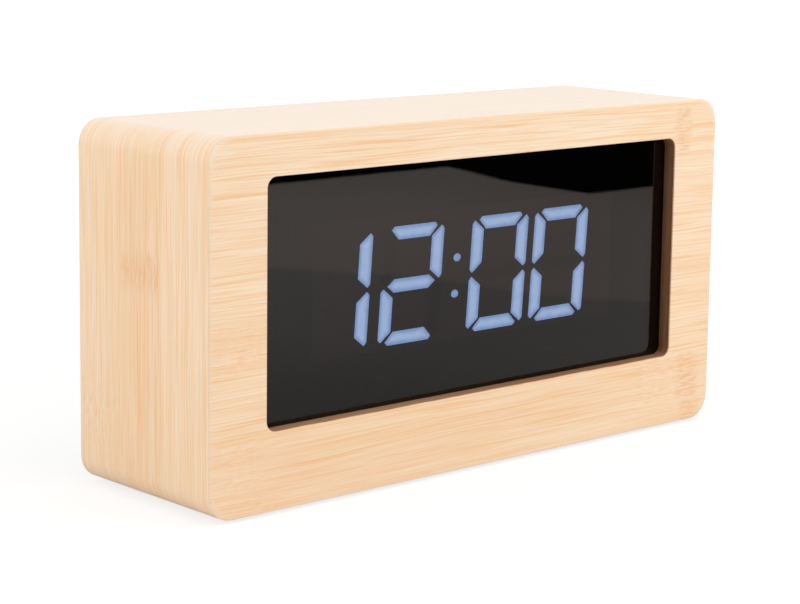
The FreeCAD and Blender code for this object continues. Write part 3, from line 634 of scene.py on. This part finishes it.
def reflector():
    """Dark plastic round the bars, with a painted glow for the light the bars spill on it."""
    g = Graph("reflector_plastic")
    cloud = g.noise(g.place(), 0.06)
    colour = g.mix(g.rise(cloud, 0.3, 0.7), sheen_of(28, 27, 26), sheen_of(32, 31, 30))
    return g.show(g.principled(Base_Color=colour, Roughness=0.6, Emission_Color=SPILL,
                               Emission_Strength=SPILL_STRENGTH))


def laminate():
    """A circuit board: lacquer over copper tracks and pads, glass weave at the edge."""
    g = Graph("circuit_laminate")
    place = g.place()
    x, _, z = g.split(place)
    grid = g.node("TexBrick", offset=0.5)
    g.feed(grid.inputs["Vector"], g.join(g.times(x, 0.16), g.times(z, 0.22)))
    g.feed(grid.inputs["Mortar Size"], 0.035)
    track = g.rise(grid.outputs["Fac"], 0.3, 0.7)
    pad = g.rise(g.cells(place, 0.16), 0.10, 0.16, 1.0, 0.0)
    weave = g.noise(place, 1.5)
    colour = g.coat(
        sheen_of(20, 68, 42),
        (g.rise(weave, 0.3, 0.7), sheen_of(26, 80, 50)),
        (g.times(track, 0.6), sheen_of(60, 122, 74)),
        (pad, sheen_of(206, 196, 160)))
    return g.show(g.principled(Base_Color=colour, Roughness=0.38, Normal=g.bump(g.plus(track, pad), 0.04)))


def metal(name, colour, roughness=0.28, brush=(1.0, 1.0, 1.0)):
    """Plated metal, brushed along the axis that brush is least on, with faint stains."""
    g = Graph(name)
    place = g.place()
    lines = g.noise(g.stretch(place, brush), 2.5, detail=3.0, roughness=0.65)
    stain = g.noise(place, 0.3, detail=3.0)
    dark = tuple(channel * 0.72 for channel in colour)
    shade = g.mix(g.rise(stain, 0.4, 0.75), colour, dark)
    gloss = g.rise(g.plus(lines, stain), 0.6, 1.4, roughness, roughness + 0.12)
    return g.show(g.principled(Base_Color=shade, Metallic=1.0, Roughness=gloss,
                               Normal=g.bump(lines, 0.012)))


def chip_resin(name, colour):
    """Moulded resin with a fine grit in it."""
    g = Graph(name)
    grit = g.noise(g.place(), 6.0, detail=3.0, roughness=0.7)
    pale = tuple(channel * 1.6 + 0.003 for channel in colour)
    shade = g.mix(g.rise(grit, 0.3, 0.8), colour, pale)
    return g.show(g.principled(Base_Color=shade, Roughness=0.62, Normal=g.bump(grit, 0.015)))


def capacitor_can():
    """An aluminium can in a sleeve: the sleeve has its pale stripe, the end is bare."""
    g = Graph("capacitor_can")
    place = g.place()
    _, _, height = g.split(place)
    _, toward, _ = g.facing()
    end = g.rise(g.size(toward), 0.6, 0.8)
    stripe = g.rise(height, CAN_STRIPE, CAN_STRIPE + 0.3)
    scratch = g.noise(g.stretch(place, (1.0, 0.2, 1.0)), 2.0, detail=3.0)
    shade = g.coat(
        sheen_of(22, 30, 52),
        (stripe, sheen_of(170, 172, 168)),
        (end, sheen_of(196, 198, 200)))
    gloss = g.rise(scratch, 0.3, 0.7, 0.25, 0.4)
    return g.show(g.principled(Base_Color=shade, Metallic=end, Roughness=gloss))


def ribbon():
    """Flat cable: a row of round wires, the first one marked."""
    g = Graph("ribbon_insulation")
    place = g.place()
    x, _, _ = g.split(place)
    wires = g.math("SINE", g.times(x, 2 * math.pi / RIBBON_PITCH))
    first = g.rise(x, RIBBON_FIRST - 0.1, RIBBON_FIRST + 0.1, 1.0, 0.0)
    smudge = g.rise(g.noise(place, 0.7), 0.3, 0.8, to_high=0.3)
    shade = g.coat(
        sheen_of(150, 152, 154),
        (first, sheen_of(176, 44, 38)),
        (smudge, sheen_of(112, 114, 116)))
    return g.show(g.principled(Base_Color=shade, Roughness=0.5, Normal=g.bump(wires, 0.15)))


def insulation(name, colour):
    """A lead's drawn plastic skin."""
    g = Graph(name)
    skin = g.noise(g.stretch(g.place(), (0.3, 2.0, 2.0)))
    dark = tuple(channel * 0.7 for channel in colour)
    shade = g.mix(g.rise(skin, 0.3, 0.7, to_high=0.5), colour, dark)
    return g.show(g.principled(Base_Color=shade, Roughness=0.42, Normal=g.bump(skin, 0.02)))


def cell_finish(name, nub_side):
    """A dry cell: bare ends, a dark jacket, and a copper band at the nub's end."""
    g = Graph(name)
    place = g.place()
    x, _, _ = g.split(place)
    along, _, _ = g.facing()
    from_middle = g.times(g.minus(x, CELL_MIDDLE), nub_side)
    end = g.rise(g.size(along), 0.5, 0.7)
    nub = g.rise(from_middle, CELL_NUB, CELL_NUB + 0.1)
    bare = g.most(end, nub, clamp=True)
    scuff = g.noise(g.stretch(place, (0.25, 1.0, 1.0)), 1.2, detail=3.0)
    shade = g.coat(
        sheen_of(34, 36, 40),
        (g.rise(from_middle, CELL_BAND, CELL_BAND + 0.15), sheen_of(196, 120, 62)),
        (g.near(from_middle, CELL_RING, 0.25, 0.05), sheen_of(220, 218, 210)),
        (g.rise(scuff, 0.55, 0.8, to_high=0.3), sheen_of(120, 112, 104)),
        (bare, sheen_of(198, 196, 190)))
    gloss = g.rise(scuff, 0.3, 0.7, 0.24, 0.36)
    return g.show(g.principled(Base_Color=shade, Metallic=bare, Roughness=gloss,
                               Normal=g.bump(scuff, 0.01)))


# Meshes

def rounded_ring(half_width, half_height, radius, inset, middle_z, steps=10):
    """Points round a rectangle with round corners, clockwise from the bottom's middle.

    Each is (x, z, distance along the full-size outline), and every inset gives the same
    number of points, so rings can be joined point to point."""
    straight_x = half_width - radius
    straight_z = half_height - radius
    arc = radius * math.pi / 2
    corners = [(-1, -1, 270), (-1, 1, 180), (1, 1, 90), (1, -1, 0)]
    runs = [straight_x, 2 * straight_z, 2 * straight_x, 2 * straight_z]
    points = [(0.0, middle_z - half_height + inset, 0.0)]
    travelled = 0.0
    for (side_x, side_z, first), run in zip(corners, runs):
        travelled += run
        for step in range(steps + 1):
            turn = math.radians(first - 90 * step / steps)
            x = side_x * straight_x + (radius - inset) * math.cos(turn)
            z = middle_z + side_z * straight_z + (radius - inset) * math.sin(turn)
            points.append((x, z, travelled + arc * step / steps))
        travelled += arc
    return points, travelled + straight_x


def piece(name, mesh, body, slot, *stands_for):
    """An object for the mesh, riding on a CAD body in place of CAD nodes."""
    mesh.update()
    made = bpy.data.objects.new(name, mesh)
    bpy.context.scene.collection.objects.link(made)
    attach(made, body)
    if stands_for:
        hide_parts(*stands_for)
    return made


def smooth_over(mesh, degrees):
    """Smooth shading, with sharp edges where faces meet at more than this angle."""
    for polygon in mesh.polygons:
        polygon.use_smooth = True
    mesh.set_sharp_from_angle(angle=math.radians(degrees))


def finished(name, points, faces, grain=None):
    """A mesh in metres from points in millimetres, with its grain map if it has one."""
    mesh = bpy.data.meshes.new(name)
    mesh.from_pydata([(x * MM, y * MM, z * MM) for x, y, z in points], [], faces)
    if grain is not None:
        layer = mesh.uv_layers.new(name="grain")
        for polygon in mesh.polygons:
            for loop in polygon.loop_indices:
                u, v = grain[mesh.loops[loop].vertex_index]
                layer.data[loop].uv = (u * MM, v * MM)
    work = bmesh.new()
    work.from_mesh(mesh)
    bmesh.ops.recalc_face_normals(work, faces=work.faces)
    work.to_mesh(mesh)
    work.free()
    return mesh


def mark(mesh, name, values):
    """A number for each vertex, which a material reads by its name."""
    layer = mesh.attributes.new(name, "FLOAT", "POINT")
    layer.data.foreach_set("value", values)


def between_rings(first, second, count, closed=True):
    """Faces between two rows of count points that start at these numbers."""
    faces = []
    for step in range(count if closed else count - 1):
        beyond = (step + 1) % count
        faces.append((first + step, first + beyond, second + beyond, second + step))
    return faces


def front_sheet():
    """The front's veneer: a flat sheet with the window in it and worn edges.

    Its rings are (inset, depth, what is added to the corner's radius) round the outline,
    whose corners are eased a little, and (inset, depth, scorch) round the window. Its
    vertices carry how far in they lie from the outline, as rim, and how dark the cutter
    left them round the window, as scorch."""
    cut = FRONT_ARRIS * ARRIS_CUT
    outer = [(0.0, PANEL_FRONT, 0.0), (0.0, FRONT + FRONT_ARRIS, 0.0), (cut, FRONT + cut, 1.5),
             (FRONT_ARRIS, FRONT, 3.0), (1.3, FRONT, 3.5), (2.4, FRONT, 3.5)]
    inner = [(-0.30, FRONT, 0.0), (-0.16, FRONT, 0.25), (-0.05, FRONT + 0.05, 0.8),
             (0.0, FRONT + 0.16, 1.0), (0.0, PANEL_FRONT, 1.0)]
    points = []
    rim = []
    scorch = []
    for inset, y, eased in outer:
        ring, _ = rounded_ring(CASE_WIDTH / 2, CASE_HEIGHT / 2, CORNER_RADIUS + eased, inset, CASE_MIDDLE)
        points.extend((x, y, z) for x, z, _ in ring)
        rim.extend([inset] * len(ring))
        scorch.extend([0.0] * len(ring))
    for inset, y, amount in inner:
        ring, _ = rounded_ring(WINDOW_WIDTH / 2, WINDOW_HEIGHT / 2, WINDOW_RADIUS, inset, WINDOW_MIDDLE)
        points.extend((x, y, z) for x, z, _ in ring)
        rim.extend([WIDE] * len(ring))
        scorch.extend([amount] * len(ring))
    rings = len(outer) + len(inner)
    count = len(points) // rings
    faces = []
    for number in range(rings):
        faces += between_rings(number * count, (number + 1) % rings * count, count)
    grain = [(x, z) for x, _, z in points]
    mesh = finished("front_veneer_sheet", points, faces, grain)
    mark(mesh, "rim", rim)
    mark(mesh, "scorch", scorch)
    smooth_over(mesh, SHARP_ANGLE)
    return mesh


def wrap_sheet():
    """The veneer round the case: one strip bent round four corners, its ends at the bottom."""
    profile = [(VENEER, PANEL_FRONT), (WRAP_ARRIS, PANEL_FRONT), (0.0, PANEL_FRONT + WRAP_ARRIS),
               (0.0, -WRAP_HOLD), (0.0, WRAP_HOLD), (0.0, BACK - WRAP_ARRIS), (WRAP_ARRIS, BACK),
               (VENEER, BACK)]
    points = []
    grain = []
    for inset, y in profile:
        ring, length = rounded_ring(CASE_WIDTH / 2, CASE_HEIGHT / 2, CORNER_RADIUS, inset, CASE_MIDDLE)
        low = ring[0][1]
        row = [(-SEAM / 2, low, 0.0)] + ring[1:] + [(SEAM / 2, low, length)]
        for x, z, travelled in row:
            points.append((x, y, z))
            grain.append((travelled - LEFT_MIDDLE, y))
    rows = len(profile)
    count = len(points) // rows
    faces = []
    for number in range(rows):
        faces += between_rings(number * count, (number + 1) % rows * count, count, closed=False)
    faces.append(tuple(number * count for number in range(rows)))
    faces.append(tuple(number * count + count - 1 for number in range(rows)))
    mesh = finished("wrap_veneer_strip", points, faces, grain)
    mark(mesh, "rim", [WIDE] * len(points))
    mark(mesh, "scorch", [GLUE_DARK if y == PANEL_FRONT else 0.0 for _, y, _ in points])
    smooth_over(mesh, SHARP_ANGLE)
    return mesh


def level_segment(z, side):
    """The bar at a digit's top or bottom, whose outer side is at z."""
    half = DIGIT_WIDTH / 2
    inner = half - UPRIGHT_STROKE - SEGMENT_GAP
    shoulder = inner + LEVEL_STROKE - SEGMENT_CLIP
    return [(-inner, z - side * LEVEL_STROKE),
            (inner, z - side * LEVEL_STROKE),
            (shoulder, z - side * SEGMENT_CLIP),
            (shoulder - SEGMENT_CLIP, z),
            (SEGMENT_CLIP - shoulder, z),
            (-shoulder, z - side * SEGMENT_CLIP)]


def middle_segment():
    """The pointed bar across a digit's waist."""
    tip = DIGIT_WIDTH / 2 - SEGMENT_CLIP - WAIST_GAP
    lean = (LEVEL_STROKE - SEGMENT_CLIP) / (UPRIGHT_STROKE - SEGMENT_CLIP)
    shoulder = tip - LEVEL_STROKE / 2 / lean
    half = LEVEL_STROKE / 2
    return [(-tip, 0), (-shoulder, -half), (shoulder, -half), (tip, 0), (shoulder, half), (-shoulder, half)]


def upright_segment(side_x, side_z):
    """A bar at a digit's left or right, in its upper or lower half."""
    x = DIGIT_WIDTH / 2
    z = DIGIT_HEIGHT / 2
    outline = [(x - UPRIGHT_STROKE, z - LEVEL_STROKE),
               (x - SEGMENT_CLIP, z - SEGMENT_CLIP),
               (x, z - 2 * SEGMENT_CLIP),
               (x, TIP_GAP + SEGMENT_CLIP),
               (x - SEGMENT_CLIP, TIP_GAP),
               (x - UPRIGHT_STROKE, TIP_GAP + LEVEL_STROKE - SEGMENT_CLIP)]
    return [(side_x * px, side_z * pz) for px, pz in outline]


SEGMENTS = {
    "a": level_segment(DIGIT_HEIGHT / 2, 1),
    "b": upright_segment(1, 1),
    "c": upright_segment(1, -1),
    "d": level_segment(-DIGIT_HEIGHT / 2, -1),
    "e": upright_segment(-1, -1),
    "f": upright_segment(-1, 1),
    "g": middle_segment(),
}

# The bars that are lit in each of the four digits: noon
LIT = ["bc", "abged", "abcdef", "abcdef"]


def digit_x(place):
    """Centre of a digit: the tens digit stands apart, and the colon before the third."""
    x = DISPLAY_X - DISPLAY_WIDTH / 2 + TENS_ROOM + place * DIGIT_PITCH
    if place > 0:
        x += TENS_GAP
    if place > 1:
        x += COLON_ROOM
    return x


def turned_in(outline, distance):
    """A convex outline drawn in by distance."""
    middle_x = sum(x for x, _ in outline) / len(outline)
    middle_z = sum(z for _, z in outline) / len(outline)
    lines = []
    for number, (x0, z0) in enumerate(outline):
        x1, z1 = outline[(number + 1) % len(outline)]
        length = math.hypot(x1 - x0, z1 - z0)
        normal_x = (z1 - z0) / length
        normal_z = (x0 - x1) / length
        reach = normal_x * x0 + normal_z * z0
        if normal_x * middle_x + normal_z * middle_z > reach:
            normal_x, normal_z, reach = -normal_x, -normal_z, -reach
        lines.append((normal_x, normal_z, reach - distance))
    corners = []
    for number, (a1, b1, c1) in enumerate(lines):
        a0, b0, c0 = lines[number - 1]
        spread = a0 * b1 - a1 * b0
        corners.append(((c0 * b1 - c1 * b0) / spread, (a0 * c1 - a1 * c0) / spread))
    return corners


def rounded_off(outline, radius, steps=3):
    """The outline with each corner cut to a short curve, within SIDE_SHARE of its sides."""
    points = []
    for number, (x, z) in enumerate(outline):
        px, pz = outline[number - 1]
        nx, nz = outline[(number + 1) % len(outline)]
        before = Vector((px - x, pz - z))
        after = Vector((nx - x, nz - z))
        reach = min(radius, before.length * SIDE_SHARE, after.length * SIDE_SHARE)
        start = Vector((x, z)) + before.normalized() * reach
        end = Vector((x, z)) + after.normalized() * reach
        for step in range(steps + 1):
            share = step / steps
            a = start.lerp(Vector((x, z)), share)
            b = Vector((x, z)).lerp(end, share)
            points.append(tuple(a.lerp(b, share)))
    return points


def bar_rings(place, name):
    """A lit bar's rings in x and z, each with how bright it is."""
    lean = math.tan(math.radians(DIGIT_SLANT))
    centre = digit_x(place)
    outline = [(centre + x + lean * z, DIGIT_Z + z) for x, z in SEGMENTS[name]]
    rings = []
    for distance, glow in BAR_RINGS:
        drawn = turned_in(outline, distance) if distance else outline
        rings.append((rounded_off(drawn, BAR_CORNER - distance * BAR_CORNER_FALL), glow))
    return rings


def dot_rings(side):
    """A colon dot's rings in x and z, each with how bright it is."""
    rise = COLON_RISE + side * COLON_SPACING / 2
    lean = math.tan(math.radians(DIGIT_SLANT))
    middle = (digit_x(1) + digit_x(2)) / 2 + COLON_SHIFT + lean * rise
    rings = []
    for share, glow in DOT_RINGS:
        ring = []
        for step in range(DOT_STEPS):
            turn = 2 * math.pi * step / DOT_STEPS
            ring.append((middle + share * COLON_HALF_WIDTH * math.cos(turn),
                         DIGIT_Z + rise + share * COLON_HALF_HEIGHT * math.sin(turn)))
        rings.append((ring, glow))
    return rings


def lit_mesh():
    """Every lit bar and dot: stepped rings from its outline to its bright middle."""
    shapes = [bar_rings(place, name) for place, names in enumerate(LIT) for name in names]
    shapes += [dot_rings(side) for side in (1, -1)]
    points = []
    faces = []
    glows = []
    for rings in shapes:
        base = len(points)
        count = len(rings[0][0])
        levels = [(rings[0][0], REFLECTOR_FRONT + FILL_DEPTH, 0.0)]
        levels += [(ring, REFLECTOR_FRONT + BAR_DOME * glow, glow) for ring, glow in rings]
        for ring, y, glow in levels:
            points.extend((x, y, z) for x, z in ring)
            glows.extend([glow] * count)
        for number in range(len(levels) - 1):
            faces += between_rings(base + number * count, base + (number + 1) * count, count)
        last = base + (len(levels) - 1) * count
        faces.append(tuple(range(last, last + count)))
        faces.append(tuple(range(base, base + count)))
    mesh = finished("lit_bars", points, faces)
    mark(mesh, "glow", glows)
    return mesh


def dress(material, *names):
    """Give CAD nodes a material."""
    for name in names:
        data = NODES[name].data
        data.materials.clear()
        data.materials.append(material)


def part_from_lens(gap, *names):
    """Draw a CAD node's faces in by a hair, as a modifier: air between lens and tape."""
    for name in names:
        thinner = NODES[name].modifiers.new("air", "DISPLACE")
        thinner.strength = -gap * MM
        thinner.mid_level = 0.0


def wear_and_light_edges(name, width, worn):
    """Round off a CAD node's edges by a modifier, in a paler finish of their own: rubbed wear and a painted
    highlight.
    """
    NODES[name].data.materials.append(worn)
    weld = NODES[name].modifiers.new("joined_faces", "WELD")
    weld.merge_threshold = WELD_GAP * MM
    bevel = NODES[name].modifiers.new("worn_edges", "BEVEL")
    bevel.width = width * MM
    bevel.segments = 2
    bevel.limit_method = "ANGLE"
    bevel.angle_limit = math.radians(SHARP_ANGLE)
    bevel.use_clamp_overlap = False
    bevel.harden_normals = True
    bevel.material = 1


# The clock

FRONT_KNUCKLES = [
    (106.0, 117.0, 6.0, 10.0),
    (112.0, 19.5, 9.0, 9.8),
    (114.0, 4.0, 8.0, 5.6),
]
FRONT_CURLS = [
    (-112.0, 58.2, 13.0, 9.8),
    (-112.0, 19.6, 14.0, 9.8),
    (-104.0, 4.0, 12.0, 5.6),
    (96.0, 19.5, 22.0, 9.8),
]
# Front strips as (middle, how tan, how much more lined): the tans are partly the wood's own tone, partly
# painted light, the top strip paler as if lit from above
FRONT_STRIPS = [
    (19.5, -0.02, 0.4),
    (38.9, -0.13, 0.5),
    (58.2, -0.10, 0.5),
    (77.7, -0.22, 0.35),
    (97.3, 0.0, 0.1),
    (117.0, -0.3, 0.35),
]
WRAP_KNUCKLES = [
    (15.5, 1.4, 9.5, 11.8),
    (346.0, 1.4, 8.0, 11.8),
    (412.0, 25.2, 6.0, 11.8),
    (-150.0, 1.4, 7.0, 11.8),
    (505.0, 1.4, 7.0, 11.8),
]
WRAP_CURLS = [(-38.0, 25.2, 20.0, 11.8)]
WRAP_STRIPS = [(1.4, 0.14, 0.45), (-22.4, 0.0, 0.2)]

front = piece("front_veneer_sheet", front_sheet(), "case", "bamboo_veneer", "front_veneer")
# Front: painted light, paler towards the top and towards the right
front.data.materials.append(bamboo(
    "bamboo_front", 19.5, 9.7, FRONT_KNUCKLES, FRONT_CURLS, FRONT_STRIPS,
    low=10.0, high=112.0, light_falloff=0.18))
wrap = piece("wrap_veneer_strip", wrap_sheet(), "case", "bamboo_veneer", "wrap_veneer")
# Wrap: painted shade on the left side and a painted glare on top
wrap.data.materials.append(bamboo(
    "bamboo_wrap", 23.8, -10.5, WRAP_KNUCKLES, WRAP_CURLS, WRAP_STRIPS,
    low=-60.0, high=-50.0, shaded=0.22, top=1.0))
bars = piece("lit_bars", lit_mesh(), "case", "lit_resin", "lit_segments")
bars.data.materials.append(lit_resin())

dress(scorched_and_shaded_fibreboard(), "front_panel")
dress(fibreboard(), "top_board", "right_board", "bottom_board", "left_board")
dress(softwood(), "corner_blocks")
dress(rubber(), "feet")
dress(smoked_lens(), "lens")
dress(tape(), "lens_tape", "bracket_tape")
part_from_lens(LENS_AIR, "lens_tape", "bracket_tape")
dress(unlit_resin(), "unlit_segments")
dress(reflector(), "display_reflector")
dress(moulded("black_plastic", sheen_of(12, 12, 12), 0.7, shine=0.15), "display_bracket")
dress(laminate(), "display_board", "main_board")
dress(chip_resin("led_resin", sheen_of(226, 214, 150)), "led_chips")
dress(chip_resin("chip_resin", sheen_of(28, 28, 30)), "driver_chip", "microcontroller", "chip_parts")
dress(metal("tinned_metal", sheen_of(206, 206, 204)), "driver_legs", "controller_legs", "crystal")
dress(metal("screw_steel", sheen_of(176, 178, 182), 0.24), "bracket_screws", "board_screws")
dress(metal("rear_screw_steel", sheen_of(132, 134, 138), 0.30), "rear_screws")
dress(metal("inlet_metal", sheen_of(196, 198, 202), 0.22, brush=(1.0, 0.2, 1.0)), "inlet_shell")
dress(metal("contact_metal", sheen_of(208, 204, 196), 0.26), "spring_contacts", "plate_contacts")
dress(capacitor_can(), "capacitor")
dress(moulded("sounder_plastic", sheen_of(22, 22, 24), 0.4), "sounder")
dress(moulded("inlet_plastic", sheen_of(24, 24, 25), 0.45), "inlet_insulator")
dress(moulded("header_plastic", sheen_of(228, 222, 206), 0.5), "ribbon_headers")
dress(ribbon(), "ribbon_cable")
dress(moulded("switch_plastic", sheen_of(40, 40, 42), 0.5), "tact_switches", "slide_switch_body")
dress(moulded("plunger_plastic", sheen_of(190, 190, 186), 0.45),
      "plunger_clock", "plunger_alarm", "plunger_up", "plunger_down")
dress(painted_cap("button_plastic", sheen_of(30, 30, 31), sheen_of(206, 206, 202), SYMBOL_START),
      "button_clock", "button_alarm", "button_up", "button_down")
dress(moulded("knob_plastic", sheen_of(196, 196, 192), 0.45), "slide_switch_knob")
dress(moulded("cover_plastic", sheen_of(35, 35, 36), 0.50, grain=0.55, depth=0.05), "rear_cover")
dress(moulded("door_plastic", sheen_of(38, 38, 39), 0.46, grain=0.55, depth=0.05), "battery_door")
# Painted highlight with the wear: the door's rounded edges paler
wear_and_light_edges("battery_door", DOOR_WEAR,
           moulded("worn_and_highlit_plastic", sheen_of(62, 62, 63), 0.42, grain=1.2, depth=0.01))
dress(cell_finish("cell_jacket_right", 1), "cell_1", "cell_3")
dress(cell_finish("cell_jacket_left", -1), "cell_2")
dress(insulation("red_insulation", sheen_of(176, 34, 30)), "lead_positive")
dress(insulation("black_insulation", sheen_of(26, 26, 27)), "lead_negative")


# Camera

def make_camera():
    """The photograph's own place, direction and framing."""
    reach = math.cos(CAMERA_PITCH)
    forward = Vector((math.sin(CAMERA_YAW) * reach, math.cos(CAMERA_YAW) * reach, -math.sin(CAMERA_PITCH)))
    level = Vector((math.cos(CAMERA_YAW), -math.sin(CAMERA_YAW), 0.0))
    upward = level.cross(forward)
    right = math.cos(CAMERA_ROLL) * level + math.sin(CAMERA_ROLL) * upward
    up = -math.sin(CAMERA_ROLL) * level + math.cos(CAMERA_ROLL) * upward
    data = bpy.data.cameras.new("camera")
    data.lens = CAMERA_LENS
    data.sensor_width = CAMERA_SENSOR
    data.shift_y = CAMERA_SHIFT
    data.clip_start = CAMERA_NEAR * MM
    data.clip_end = CAMERA_FAR * MM
    made = bpy.data.objects.new("camera", data)
    turn = Matrix((right, up, -forward)).transposed().to_4x4()
    made.matrix_world = Matrix.Translation(Vector(CAMERA_PLACE) * MM) @ turn
    bpy.context.scene.collection.objects.link(made)
    bpy.context.scene.camera = made


# Studio

def ray_kinds(g):
    """Whether a ray comes from the camera, from a mirror or through glass."""
    path = g.node("LightPath")
    return path.outputs["Is Camera Ray"], path.outputs["Is Glossy Ray"], path.outputs["Is Transmission Ray"]


def mirrored_table(g, x, y):
    """The table as mirrors see it, which is what the photograph's studio had.

    It has a darker near part, a warmer far part past the table's end, and a black screen
    that lies to the right."""
    outward = g.minus(g.times(x, OUTWARD_X), g.times(y, OUTWARD_Y))
    sideways = g.plus(g.times(x, OUTWARD_Y), g.times(y, OUTWARD_X))
    edge = g.plus(outward, g.rise(sideways, -150.0, -60.0, 0.0, TABLE_END_STEP))
    far = g.rise(edge, TABLE_END, TABLE_END + TABLE_END_SOFT)
    level = g.plus(g.times(NEAR_LEVEL, g.all_but(far)),
                   g.times(g.rise(outward, 640.0, 840.0, 1.04, 0.90), far))
    level = g.times(level, g.rise(outward, 60.0, 260.0, 0.80, 1.0))
    level = g.times(level, g.rise(sideways, -260.0, -60.0, 1.02, 0.76))
    bent = g.plus(x, g.rise(y, -700.0, -585.0, -10.0, 16.0))
    screen = g.times(g.rise(bent, SCREEN_LEFT, SCREEN_LEFT + SCREEN_SOFT),
                     g.rise(y, SCREEN_NEAR, SCREEN_NEAR + SCREEN_SOFT, 1.0, 0.0))
    screen = g.most(screen, g.rise(y, SCREEN_FAR, SCREEN_FAR + 16.0, 1.0, 0.0))
    level = g.times(level, g.all_but(screen, SCREEN_DARK))
    return g.filled("Emission", g.mix(far, NEAR_TINT, FAR_TINT), level)


def floor_finish():
    """Pale table. A camera sees it near white, with the object's shadow kept."""
    g = Graph("studio_floor")
    x, y, _ = g.split(g.place())
    camera, glossy, through = ray_kinds(g)
    distance = g.math("SQRT", g.plus(g.times(x, x), g.times(y, y)))
    fill = g.filled("Emission", (1.0, 1.0, 1.0), g.rise(distance, 200.0, 900.0, 0.76, 1.0))
    seen = g.filled("AddShader", g.filled("BsdfDiffuse", SHADOW_WHITE), fill)
    plain = g.filled("MixShader", g.most(camera, through), g.filled("BsdfDiffuse", FLOOR_WHITE), seen)
    return g.show(g.filled("MixShader", glossy, plain, mirrored_table(g, x, y)))


def make_floor():
    mesh = bpy.data.meshes.new("floor")
    half = FLOOR_HALF * MM
    mesh.from_pydata([(-half, -half, 0.0), (half, -half, 0.0), (half, half, 0.0), (-half, half, 0.0)],
                     [], [(0, 1, 2, 3)])
    mesh.materials.append(floor_finish())
    made = bpy.data.objects.new("floor", mesh)
    bpy.context.scene.collection.objects.link(made)


def make_world():
    """Soft light all round, which the camera, mirrors and glass see as plain white."""
    g = Graph("studio", of_world=True)
    camera, glossy, through = ray_kinds(g)
    soft = g.filled("Background", (1.0, 1.0, 1.0), WORLD_LEVEL)
    white = g.filled("Background", (1.0, 1.0, 1.0), 1.0)
    seen = g.most(g.most(camera, glossy), through)
    bpy.context.scene.world = g.show(g.filled("MixShader", seen, soft, white))


def soft_box(name, place, size, power):
    """A square area lamp, aimed at the clock."""
    data = bpy.data.lights.new(name, "AREA")
    data.shape = "SQUARE"
    data.size = size * MM
    data.energy = power
    made = bpy.data.objects.new(name, data)
    made.location = Vector(place) * MM
    aim = Vector(LAMP_AIM) - Vector(place)
    made.rotation_mode = "QUATERNION"
    made.rotation_quaternion = aim.to_track_quat("-Z", "Y")
    made.visible_glossy = False
    bpy.context.scene.collection.objects.link(made)


make_camera()
make_floor()
make_world()
for lamp in LAMPS:
    soft_box(*lamp)

bpy.context.scene.view_settings.view_transform = "Standard"
